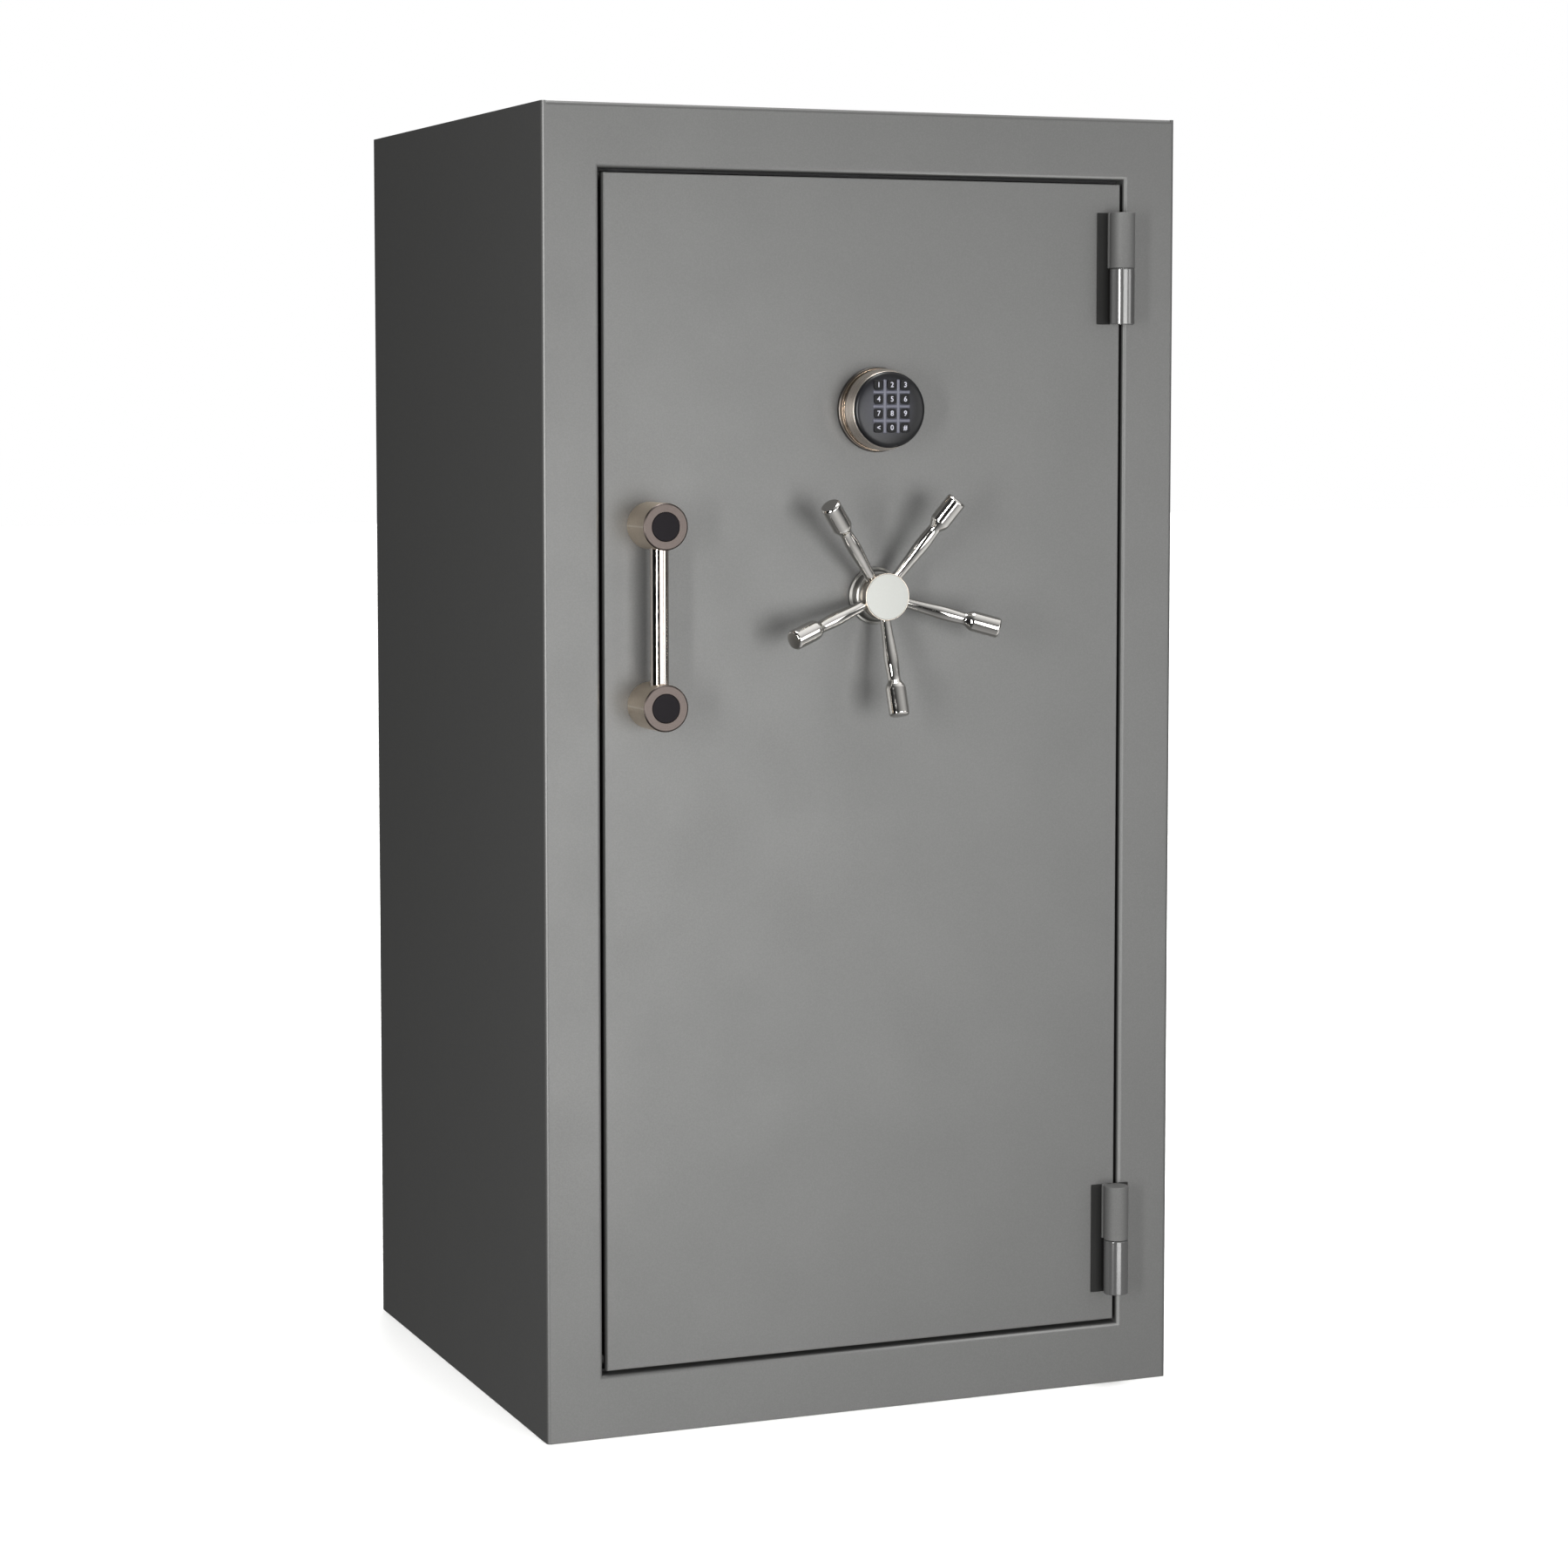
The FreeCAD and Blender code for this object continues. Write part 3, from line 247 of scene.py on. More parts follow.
def bead(shape, start, end, radius, ripple):
    """A rippled weld bead from start to end, round in section."""
    run = Vector(end) - Vector(start)
    rings = max(6, int(run.length / (ripple / 2)))
    first = bmesh.ops.create_circle(shape, segments=8, radius=radius)["verts"]
    turn = run.to_track_quat("Z", "Y").to_matrix().to_4x4()
    bmesh.ops.transform(shape, matrix=Matrix.Translation(start) @ turn, verts=first)
    edges = list({edge for vert in first for edge in vert.link_edges})
    step = run / rings
    bmesh.ops.spin(shape, geom=first + edges, cent=(0, 0, 0), axis=(0, 0, 1), dvec=step,
                   angle=0, steps=rings, use_duplicate=False)
    made = set(first)
    frontier = set(first)
    while frontier:
        frontier = {edge.other_vert(vert) for vert in frontier for edge in vert.link_edges} - made
        made |= frontier
    for vert in made:
        along = (vert.co - Vector(start)).dot(run.normalized())
        axis_point = Vector(start) + run.normalized() * along
        ring = round(along / step.length)
        swell = 1.0 if ring % 2 else 0.72
        if ring in (0, rings):
            swell = 0.3
        vert.co = axis_point + (vert.co - axis_point) * swell
    bmesh.ops.holes_fill(shape, edges=[edge for edge in shape.edges if edge.is_boundary], sides=8)


low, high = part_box("back_plate")
bead_y = high.y - 0.0009 - 0.0016
inset = 0.001
beads = bmesh.new()
corners = [(low.x + inset, low.z + inset), (high.x - inset, low.z + inset),
           (high.x - inset, high.z - inset), (low.x + inset, high.z - inset)]
for (x_1, z_1), (x_2, z_2) in zip(corners, corners[1:] + corners[:1]):
    bead(beads, (x_1, bead_y, z_1), (x_2, bead_y, z_2), 0.0024, 0.005)
bmesh.ops.recalc_face_normals(beads, faces=beads.faces)
finish_piece("back_weld_beads", beads, "cabinet", [powder_coat], "body_paint", crease=70)

# ---------------------------------------- door plate
# A 12 mm steel plate that sits flush in the opening. Its edges are eased, and it is sprayed in the same
# coat as the body.

finish_piece("door_plate_skin", merged("door_plate"), "door", [powder_coat], "body_paint", "door_plate")

# ---------------------------------------- hinges
# Lift-off barrel hinges: steel knuckles welded to thin leaves, one half on the frame and one on the door.
# The upper knuckle has a textured coat and the lower one is buffed smooth. The leaves are coloured
# near-black:
# painted shade for the dark bands beside the barrels.


def block(shape, low, high, ease, segments=3):
    """A box between two corners with all its edges eased."""
    verts = bmesh.ops.create_cube(shape, size=1)["verts"]
    size = Vector(high) - Vector(low)
    bmesh.ops.scale(shape, vec=size, verts=verts)
    bmesh.ops.translate(shape, vec=(Vector(high) + Vector(low)) / 2, verts=verts)
    if ease:
        edges = list({edge for vert in verts for edge in vert.link_edges})
        bmesh.ops.bevel(shape, geom=edges, offset=ease, segments=segments, profile=0.5,
                        affect="EDGES", material=-1, clamp_overlap=True)


def join(shape, other):
    """Move one bmesh into another."""
    part = bpy.data.meshes.new("part")
    other.to_mesh(part)
    other.free()
    shape.from_mesh(part)
    bpy.data.meshes.remove(part)


def lathe(shape, profile, place, ease=0.0006, steps=96, soft=28):
    """Turn a (height, radius) profile about Z, round its sharp rings, and put it in place."""
    own = bmesh.new()
    points = [own.verts.new((radius, 0, height)) for height, radius in profile]
    for start, end in zip(points, points[1:]):
        own.edges.new((start, end))
    bmesh.ops.spin(own, geom=own.verts[:] + own.edges[:], cent=(0, 0, 0), axis=(0, 0, 1),
                   angle=2 * pi, steps=steps, use_merge=True)
    bmesh.ops.remove_doubles(own, verts=own.verts, dist=1e-6)
    bmesh.ops.recalc_face_normals(own, faces=own.faces)
    sharp = [edge for edge in own.edges
             if len(edge.link_faces) == 2 and edge.calc_face_angle() > radians(soft)]
    if sharp and ease:
        bmesh.ops.bevel(own, geom=sharp, offset=ease, segments=3, profile=0.5,
                        affect="EDGES", material=-1, clamp_overlap=True)
    bmesh.ops.transform(own, matrix=place, verts=own.verts)
    join(shape, own)


smooth_coat = powder_coat_material("buffed powder coat", "#6a6a6a", "#666665", 0.03, 0.16, 0.2)
matte_coat = powder_coat_material("textured powder coat", "#646463", "#5f5f5e", 0.2, 0.62, 0.7)
# The leaves' near-black coat is painted shade, the dark band beside each barrel.
leaf_shade_coat = powder_coat_material("leaves darkened as painted shade", "#1d1d1c", "#191918", 0.15, 0.6, 0.7)

barrel = 0.0145
leaf = 0.002
pin_hole = 0.0072
neck = 0.005
neck_reach = 0.013
knuckle = 0.0647
seam = 0.0006
plug = 0.0006
axis_x = 0.317
axis_out = 0.015
for node, body, material, sign in (("frame_hinge_knuckles", "cabinet", smooth_coat, 1),
                                   ("door_hinge_knuckles", "door", matte_coat, -1)):
    low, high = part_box(node)
    axis_y = high.y - axis_out
    shape = bmesh.new()
    leaves = bmesh.new()
    for leaf_base in (low.z, high.z - 2 * knuckle - seam):
        if sign > 0:
            base = leaf_base
            profile = [(0.0, pin_hole), (0.0, barrel), (knuckle, barrel), (knuckle, pin_hole),
                       (0.0, pin_hole)]
            neck_left = axis_x
            leaf_left, leaf_right = axis_x + 0.010, high.x
        else:
            base = leaf_base + knuckle + seam
            cover = knuckle - plug
            profile = [(0.0, pin_hole), (0.0, barrel), (knuckle, barrel), (knuckle, 0.0), (cover, 0.0),
                       (cover, pin_hole)]
            neck_left = axis_x - neck_reach
            leaf_left, leaf_right = low.x, axis_x - 0.008
        lathe(shape, profile, Matrix.Translation((axis_x, axis_y, base)), ease=0.0009, steps=64)
        block(shape, (neck_left, high.y - neck, base),
              (neck_left + neck_reach, high.y, base + knuckle), 0.001)
        block(leaves, (leaf_left, high.y - leaf, leaf_base),
              (leaf_right, high.y, leaf_base + 2 * knuckle + seam), 0.0009)
    # The leaves take the near-black painted shade.
    for face in leaves.faces:
        face.material_index = 1
    join(shape, leaves)
    finish_piece(node.replace("knuckles", "barrels"), shape, body, [material, leaf_shade_coat], "body_paint", node)

# ---------------------------------------- keypad base and housing
# A round die-cast housing, stepped in profile and plated in nickel: a thin dark base ring, a bronze toned
# band, a groove coloured near-black as painted shade, and a long pale taper that carries the keypad's face.

FORWARD = Matrix.Rotation(radians(90), 4, "X")
low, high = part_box("keypad_base")
keypad_x = (low.x + high.x) / 2
keypad_z = (low.z + high.z) / 2
keypad_radius = (high.x - low.x) / 2
door_face = high.y
keypad_place = Matrix.Translation((keypad_x, door_face, keypad_z)) @ FORWARD


def turned_metal(name, colour, worn, centre, rough, bumps=0.12):
    """Plated metal turned on a lathe: rings of fine tool marks about the piece's own axis, a soft tarnish."""
    material, tree = new_material(name, Metallic=1.0)
    place = object_place(tree)
    own = add(tree, "ShaderNodeMapping", {"Vector": place, "Location": (-centre[0], 0, -centre[1])})
    split = add(tree, "ShaderNodeSeparateXYZ", {0: own.outputs[0]})
    # Distance from the axis, kept by a vector length of (x, 0, z).
    flat = add(tree, "ShaderNodeCombineXYZ", {0: split.outputs["X"], 2: split.outputs["Z"]})
    radius = add(tree, "ShaderNodeVectorMath", {0: flat.outputs[0]}, operation="LENGTH")
    both = add(tree, "ShaderNodeCombineXYZ", {0: radius.outputs["Value"], 1: split.outputs["Y"]})
    # Tool marks 0.9 mm apart, drawn coarser than real ones so that they show.
    marks = add(tree, "ShaderNodeTexNoise", {"Vector": both.outputs[0], "Scale": 1100.0, "Detail": 1.0})
    haze = add(tree, "ShaderNodeTexNoise", {"Vector": place, "Scale": 60.0, "Detail": 3.0})
    add(tree, "ShaderNodeMix", {0: haze.outputs[0], 6: linear(colour), 7: linear(worn)},
        to="Base Color", data_type="RGBA")
    add(tree, "ShaderNodeMapRange", {0: marks.outputs[0], 1: 0.3, 2: 0.7, 3: rough * 0.8, 4: rough * 1.25},
        to="Roughness")
    add(tree, "ShaderNodeBump", {"Strength": bumps, "Distance": 0.0001, "Height": marks.outputs[0]},
        to="Normal")
    return material


keypad_centre = (keypad_x, keypad_z)
dark_plate = turned_metal("black nickel plate", "#5a5550", "#4a4642", keypad_centre, 0.3)
bronze_band = turned_metal("bronze toned nickel", "#c0ac98", "#ae9a86", keypad_centre, 0.2)
pale_taper = turned_metal("satin champagne nickel", "#e2d8ce", "#d8cdc2", keypad_centre, 0.3)

shape = bmesh.new()
lathe(shape, [(0.0, 0.0), (0.0, keypad_radius), (0.0045, keypad_radius), (0.0052, keypad_radius - 0.001),
              (0.0052, 0.0)], keypad_place, ease=0.0004, steps=128)
finish_piece("keypad_base_ring", shape, "door", [dark_plate], "dark_collar", "keypad_base")


# The groove's faces, found by their radius and height, are coloured near-black as painted shade in the
# recess.
groove_shade = grained_material("groove darkened as painted shade", "#0c0c0c", "#171717", 400.0, Roughness=0.45)

low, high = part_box("keypad_housing")
housing_back = door_face - high.y
housing_front = door_face - low.y
housing_bore = 0.030
band = 0.011
groove = 0.019
shape = bmesh.new()
lathe(shape, [
    (housing_back, housing_bore), (housing_back, keypad_radius - 0.0015), (band, keypad_radius - 0.0015),
    (band, keypad_radius - 0.004), (groove, keypad_radius - 0.004), (groove, keypad_radius - 0.0017),
    (housing_front, 0.0438), (housing_front, housing_bore), (housing_back, housing_bore),
], keypad_place, ease=0.0005, steps=128, soft=20)
# Band faces take the bronze tone, and groove faces take the near-black painted shade.
for face in shape.faces:
    middle = face.calc_center_median()
    out = door_face - middle.y
    radius = Vector((middle.x - keypad_x, middle.z - keypad_z)).length
    if out < band + 0.0002 and radius > 0.04:
        face.material_index = 1
    elif out < groove + 0.0001 and radius < keypad_radius - 0.0019:
        face.material_index = 2
finish_piece("keypad_housing_ring", shape, "door", [pale_taper, bronze_band, groove_shade],
             "satin_nickel", "keypad_housing")

# ---------------------------------------- keypad face
# A black moulded ABS dome, satin and slightly mottled, with a raised web between the keys. A blue-grey
# sheen is painted into its colour: paler in the middle and on the web, blacker towards the rim.

low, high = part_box("keypad_face")
face_back = door_face - high.y
dome = [(0.0, 0.0), (0.0, 0.0435), (0.0024, 0.0433), (0.0042, 0.0425), (0.0056, 0.0405), (0.0064, 0.0375),
        (0.0070, 0.033), (0.0075, 0.026), (0.0078, 0.016), (0.0079, 0.0)]
shape = bmesh.new()
lathe(shape, [(face_back + height, radius) for height, radius in dome], keypad_place, ease=0, steps=128)

black_abs, tree = new_material("black moulded ABS with painted sheen", Coat_Weight=0.1, Coat_Roughness=0.25,
                               Specular_IOR_Level=0.25)
place = object_place(tree)
own = add(tree, "ShaderNodeMapping", {"Vector": place,
                                      "Location": (-keypad_x + 0.006, -door_face, -keypad_z - 0.002)})
reach = add(tree, "ShaderNodeVectorMath", {0: own.outputs[0], 1: (1, 0, 1)}, operation="MULTIPLY")
radius = add(tree, "ShaderNodeVectorMath", {0: reach.outputs[0]}, operation="LENGTH")
# Painted sheen: the colour is blue-grey in the middle, just left of and above the centre, and blacker
# towards the rim.
painted_sheen = add(tree, "ShaderNodeMapRange", {0: radius.outputs["Value"], 1: 0.010, 2: 0.038, 3: 1.0, 4: 0.0})
speck = add(tree, "ShaderNodeTexNoise", {"Vector": place, "Scale": 700.0, "Detail": 2.0})
grain = add(tree, "ShaderNodeMapRange", {0: speck.outputs[0], 1: 0.3, 2: 0.7, 3: 0.75, 4: 1.0})
both = add(tree, "ShaderNodeMath", {0: painted_sheen.outputs[0], 1: grain.outputs[0]}, operation="MULTIPLY")
add(tree, "ShaderNodeMix", {0: both.outputs[0], 6: linear("#0b0b0d"), 7: linear("#33343d")},
    to="Base Color", data_type="RGBA")
add(tree, "ShaderNodeMapRange", {0: speck.outputs[0], 1: 0.3, 2: 0.7, 3: 0.30, 4: 0.42}, to="Roughness")
add(tree, "ShaderNodeBump", {"Strength": 0.15, "Distance": 0.0001, "Height": speck.outputs[0]}, to="Normal")

# The web between the keys is coloured a paler blue-grey as painted sheen, with a grain 2 mm across.
web_painted_sheen = grained_material("web tinted by painted sheen", "#434450", "#52535f", 500.0, rough=(0.32, 0.45),
                               Coat_Weight=0.1, Coat_Roughness=0.2)

key_boxes = {name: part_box(name) for name in nodes if name.startswith("key_")}
key_columns = sorted({round((a.x + b.x) / 2, 4) for a, b in key_boxes.values()})
key_rows = sorted({round((a.z + b.z) / 2, 4) for a, b in key_boxes.values()})
pitch_x = key_columns[1] - key_columns[0]
pitch_z = key_rows[1] - key_rows[0]
web = bmesh.new()
left = key_columns[0] - pitch_x / 2
right = key_columns[-1] + pitch_x / 2
bottom = key_rows[0] - pitch_z / 2
top = key_rows[-1] + pitch_z / 2
web_half = 0.0019
web_short = 0.002
web_low = 0.003
web_ease = 0.0011
web_top = door_face - face_back - 0.0088
for column in range(1, len(key_columns)):
    x = left + column * pitch_x
    block(web, (x - web_half, web_top, bottom + web_short),
          (x + web_half, web_top + web_low, top - web_short), web_ease)
for row in range(1, len(key_rows)):
    z = bottom + row * pitch_z
    block(web, (left + web_short, web_top + 0.0001, z - web_half),
          (right - web_short, web_top + web_low, z + web_half), web_ease)
for face in web.faces:
    face.material_index = 1
join(shape, web)
finish_piece("keypad_dome", shape, "door", [black_abs, web_painted_sheen], "black_plastic", "keypad_face")

# ---------------------------------------- keys
# Twelve black silicone keys with rounded corners and rims, each on its own button body, so that it can be
# pressed. Each has a pale printed digit or sign in plain type.

silicone = grained_material("black silicone rubber", "#0b0b0c", "#161618", 900.0, rough=(0.5, 0.65),
                            Specular_IOR_Level=0.2)

ink = grained_material("pale screen-printed ink", "#b4b4bd", "#9c9ca8", 1500.0, Roughness=0.5)

signs = {f"key_{digit}": str(digit) for digit in range(10)}
signs.update(key_clear="<", key_enter="#")
for name, (low, high) in key_boxes.items():
    shape = bmesh.new()
    block(shape, low, high, 0)
    upright = [edge for edge in shape.edges if abs(edge.verts[0].co.y - edge.verts[1].co.y) > 0.001]
    bmesh.ops.bevel(shape, geom=upright, offset=0.0028, segments=6, profile=0.5, affect="EDGES", material=-1)
    rim = [edge for edge in shape.edges if all(vert.co.y < low.y + 1e-5 for vert in edge.verts)]
    bmesh.ops.bevel(shape, geom=rim, offset=0.0012, segments=4, profile=0.5, affect="EDGES", material=-1)
    text = bpy.data.curves.new("sign", "FONT")
    text.body = signs[name]
    text.size = 0.0082
    text.align_x = "CENTER"
    text.align_y = "CENTER"
    text.extrude = 0.00006
    text.offset = 0.00012
    holder = new_object("sign", text)
    flat = bpy.data.meshes.new_from_object(holder)
    bpy.data.objects.remove(holder)
    middle = (low + high) / 2
    flat.transform(Matrix.Translation((middle.x, low.y - 0.00003, middle.z)) @ FORWARD)
    before = set(shape.faces)
    shape.from_mesh(flat)
    for face in set(shape.faces) - before:
        face.material_index = 1
    body = "button_" + name[4:]
    finish_piece(name + "_cap", shape, body, [silicone, ink], "key_plastic", name)

# ---------------------------------------- handle collar
# A domed escutcheon pressed from steel and plated in dark nickel. It is fixed to the door under the
# handle and doesn't turn with it.

low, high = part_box("handle_collar")
handle_x = (low.x + high.x) / 2
handle_z = (low.z + high.z) / 2
collar_radius = (high.x - low.x) / 2
collar_bore = 0.0125
handle_centre = (handle_x, handle_z)
handle_place = Matrix.Translation((handle_x, door_face, handle_z)) @ FORWARD
collar_metal = turned_metal("dark plated collar", "#8b8a86", "#7a7976", handle_centre, 0.34)
shape = bmesh.new()
lathe(shape, [
    (0.0, collar_bore), (0.0, collar_radius), (0.0035, collar_radius), (0.0042, collar_radius - 0.003),
    (0.008, collar_radius - 0.0034), (0.011, collar_radius - 0.0046), (0.013, collar_radius - 0.0068),
    (0.014, collar_radius - 0.010), (0.014, collar_bore), (0.0, collar_bore),
], handle_place, ease=0.0006, steps=96)
finish_piece("handle_escutcheon", shape, "door", [collar_metal], "dark_collar", "handle_collar")

# ---------------------------------------- hub and hub disc
# A solid turned hub plated in champagne nickel, with a satin aluminium disc pressed into its front. The
# polished chrome of the spokes, the bolts and the panel screws is made here too.


def polished_chrome(name, tint_light, tint_dark, low_rough, high_rough):
    """Bright chrome plate: a mirror with faint fingerprints and a very slight waviness from polishing."""
    material, tree = new_material(name, Metallic=1.0)
    place = object_place(tree)
    smudge = add(tree, "ShaderNodeTexNoise", {"Vector": place, "Scale": 90.0, "Detail": 4.0})
    add(tree, "ShaderNodeMix", {0: smudge.outputs[0], 6: linear(tint_light), 7: linear(tint_dark)},
        to="Base Color", data_type="RGBA")
    add(tree, "ShaderNodeMapRange", {0: smudge.outputs[0], 1: 0.4, 2: 0.75, 3: low_rough, 4: high_rough},
        to="Roughness")
    wave = add(tree, "ShaderNodeTexNoise", {"Vector": place, "Scale": 45.0, "Detail": 1.0})
    add(tree, "ShaderNodeBump", {"Strength": 0.08, "Distance": 0.0004, "Height": wave.outputs[0]},
        to="Normal")
    return material


chrome = polished_chrome("polished chrome plate", "#dcdad6", "#cfccc7", 0.05, 0.13)
hub_metal = turned_metal("champagne nickel hub", "#cfc6ba", "#bfb5a8", handle_centre, 0.16)

low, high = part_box("handle_hub")
hub_radius = (high.x - low.x) / 2
hub_back = door_face - high.y
hub_front = door_face - low.y
spindle_bore = 0.0082
rim = 0.0008
seat = hub_front - 0.002
shape = bmesh.new()
lathe(shape, [
    (hub_back, spindle_bore), (hub_back, hub_radius - 0.004), (hub_back + 0.0025, hub_radius - 0.0015),
    (hub_back + 0.008, hub_radius - 0.0003), (hub_front - 0.004, hub_radius), (hub_front, hub_radius),
    (hub_front, hub_radius - rim), (seat, hub_radius - rim), (seat, spindle_bore), (hub_back, spindle_bore),
], handle_place, ease=0.0003, steps=96, soft=24)
finish_piece("handle_hub_body", shape, "handle", [hub_metal], "satin_nickel", "handle_hub")

# Satin anodised aluminium, face-turned: pale and flat, with the faintest rings, coarser than real.
disc_metal, tree = new_material("satin anodised aluminium", Metallic=0.3)
place = object_place(tree)
own = add(tree, "ShaderNodeMapping", {"Vector": place, "Location": (-handle_x, 0, -handle_z)})
flat = add(tree, "ShaderNodeVectorMath", {0: own.outputs[0], 1: (1, 0, 1)}, operation="MULTIPLY")
radius = add(tree, "ShaderNodeVectorMath", {0: flat.outputs[0]}, operation="LENGTH")
ring = add(tree, "ShaderNodeCombineXYZ", {0: radius.outputs["Value"]})
marks = add(tree, "ShaderNodeTexNoise", {"Vector": ring.outputs[0], "Scale": 1400.0, "Detail": 1.0})
speck = add(tree, "ShaderNodeTexNoise", {"Vector": place, "Scale": 900.0, "Detail": 1.0})
add(tree, "ShaderNodeMix", {0: speck.outputs[0], 6: linear("#a3a4a0"), 7: linear("#9c9d99")},
    to="Base Color", data_type="RGBA")
add(tree, "ShaderNodeMapRange", {0: marks.outputs[0], 1: 0.3, 2: 0.7, 3: 0.42, 4: 0.52}, to="Roughness")
add(tree, "ShaderNodeBump", {"Strength": 0.06, "Distance": 0.0001, "Height": marks.outputs[0]}, to="Normal")

low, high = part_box("handle_hub_disc")
disc_radius = (high.x - low.x) / 2
disc_front = door_face - low.y
shape = bmesh.new()
lathe(shape, [
    (disc_front - 0.003, 0.0), (disc_front - 0.003, disc_radius), (disc_front - 0.0006, disc_radius),
    (disc_front, disc_radius - 0.0012), (disc_front, 0.0),
], handle_place, ease=0.0004, steps=96)
finish_piece("handle_hub_cap", shape, "handle", [disc_metal], "hub_disc", "handle_hub_disc")

# ---------------------------------------- five spokes
# Each spoke is turned from bar: a thin root that swells, necks in and steps out to a thick grip with a
# flat chamfered end. Polished chrome, screwed into the hub and leaning away from the door.

rise = radians(17.5)
root_out = 0.025
root_start = 0.016
spoke_profile = [
    (0.000, 0.0), (0.000, 0.0061), (0.016, 0.0062), (0.030, 0.0067), (0.042, 0.0074), (0.052, 0.0081),
    (0.060, 0.0082), (0.066, 0.0081), (0.072, 0.0077), (0.078, 0.0073), (0.082, 0.0072), (0.084, 0.0078),
    (0.0870, 0.0098), (0.0905, 0.0115), (0.093, 0.0117), (0.122, 0.0117), (0.124, 0.0100), (0.124, 0.0),
]
shape = bmesh.new()
for number in range(5):
    turn = radians(-16.2 + 72 * number)
    outward = Vector((cos(turn), 0, sin(turn)))
    along = outward * cos(rise) + Vector((0, -1, 0)) * sin(rise)
    base = Vector((handle_x, door_face - root_out, handle_z)) + outward * root_start
    turn_to = along.to_track_quat("Z", "Y").to_matrix().to_4x4()
    lathe(shape, spoke_profile, Matrix.Translation(base) @ turn_to, ease=0.0007, steps=64, soft=25)
finish_piece("handle_five_spokes", shape, "handle", [chrome], "chrome", "handle_spokes", crease=40)

# ---------------------------------------- pull handle
# A round chrome bar between two thick posts. The posts are cast and plated in satin champagne nickel, each
# with a bright parting line along its sides, a flat grey face and a black cap over its bolt.

low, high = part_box("pull_posts")
pull_x = (low.x + high.x) / 2
post_radius = (high.x - low.x) / 2
post_heights = (low.z + post_radius, high.z - post_radius)
post_out = door_face - low.y
middle_z = sum(post_heights) / 2


def post_metal(name, colour, worn, rough, scale, parting):
    """Satin plate with rings about each post's own axis; the two posts are folded onto one by height."""
    material, tree = new_material(name, Metallic=1.0)
    place = object_place(tree)
    own = add(tree, "ShaderNodeMapping", {"Vector": place, "Location": (-pull_x, 0, -middle_z)})
    split = add(tree, "ShaderNodeSeparateXYZ", {0: own.outputs[0]})
    folded = add(tree, "ShaderNodeMath", {0: split.outputs["Z"]}, operation="ABSOLUTE")
    centred = add(tree, "ShaderNodeMath", {0: folded.outputs[0], 1: post_heights[1] - middle_z},
                  operation="SUBTRACT")
    flat = add(tree, "ShaderNodeCombineXYZ", {0: split.outputs["X"], 1: centred.outputs[0]})
    radius = add(tree, "ShaderNodeVectorMath", {0: flat.outputs[0]}, operation="LENGTH")
    both = add(tree, "ShaderNodeCombineXYZ", {0: radius.outputs["Value"], 1: split.outputs["Y"]})
    # Tool marks about 1 mm apart, coarser than real, so that they show.
    marks = add(tree, "ShaderNodeTexNoise", {"Vector": both.outputs[0], "Scale": scale, "Detail": 1.0})
    grain = add(tree, "ShaderNodeTexNoise", {"Vector": place, "Scale": 420.0, "Detail": 2.0})
    mix = add(tree, "ShaderNodeMix", {0: grain.outputs[0], 6: linear(colour), 7: linear(worn)},
              to=None if parting else "Base Color", data_type="RGBA")
    # The casting's parting line, rubbed bright, runs along each side of the post at the height of its axis.
    off_line = add(tree, "ShaderNodeMath", {0: centred.outputs[0]}, operation="ABSOLUTE")
    rubbed = add(tree, "ShaderNodeMapRange", {0: off_line.outputs[0], 1: 0.0006, 2: 0.0013, 3: 0.7, 4: 0.0})
    add(tree, "ShaderNodeMix", {0: rubbed.outputs[0], 6: mix.outputs[2], 7: linear("#f0e6d8")},
        to="Base Color" if parting else None, data_type="RGBA")
    add(tree, "ShaderNodeMapRange", {0: marks.outputs[0], 1: 0.3, 2: 0.7, 3: rough * 0.8, 4: rough * 1.2},
        to="Roughness")
    add(tree, "ShaderNodeBump", {"Strength": 0.2, "Distance": 0.0001, "Height": marks.outputs[0]},
        to="Normal")
    return material


side_nickel = post_metal("satin champagne nickel post", "#e4d6c4", "#cfc0ac", 0.38, 900.0, True)
face_nickel = post_metal("grey brushed nickel face", "#4e4744", "#46403d", 0.36, 1300.0, False)
shape = bmesh.new()
caps = bmesh.new()
cap_radius = 0.016
cap_play = 0.0004
cap_seat = post_out - 0.003
for z in post_heights:
    post_place = Matrix.Translation((pull_x, door_face, z)) @ FORWARD
    lathe(shape, [
        (0.0, 0.0), (0.0, post_radius), (post_out - 0.0014, post_radius),
        (post_out, post_radius - 0.0015), (post_out, cap_radius + cap_play),
        (cap_seat, cap_radius + cap_play), (cap_seat, 0.0),
    ], post_place, ease=0.0004, steps=96, soft=35)
    lathe(caps, [
        (cap_seat, 0.0), (cap_seat, cap_radius), (post_out + 0.0003, cap_radius),
        (post_out + 0.0009, cap_radius - 0.0012), (post_out + 0.001, 0.0),
    ], post_place, ease=0.0003, steps=64)
for face in shape.faces:
    if face.normal.y < -0.5:
        face.material_index = 1
finish_piece("pull_handle_posts", shape, "door", [side_nickel, face_nickel], "satin_nickel", "pull_posts")

cap_plastic = grained_material("matt black nylon", "#131113", "#1b181b", 800.0, rough=(0.5, 0.65),
                               Specular_IOR_Level=0.08)
finish_piece("pull_handle_caps", caps, "door", [cap_plastic], "black_plastic", "pull_post_caps")

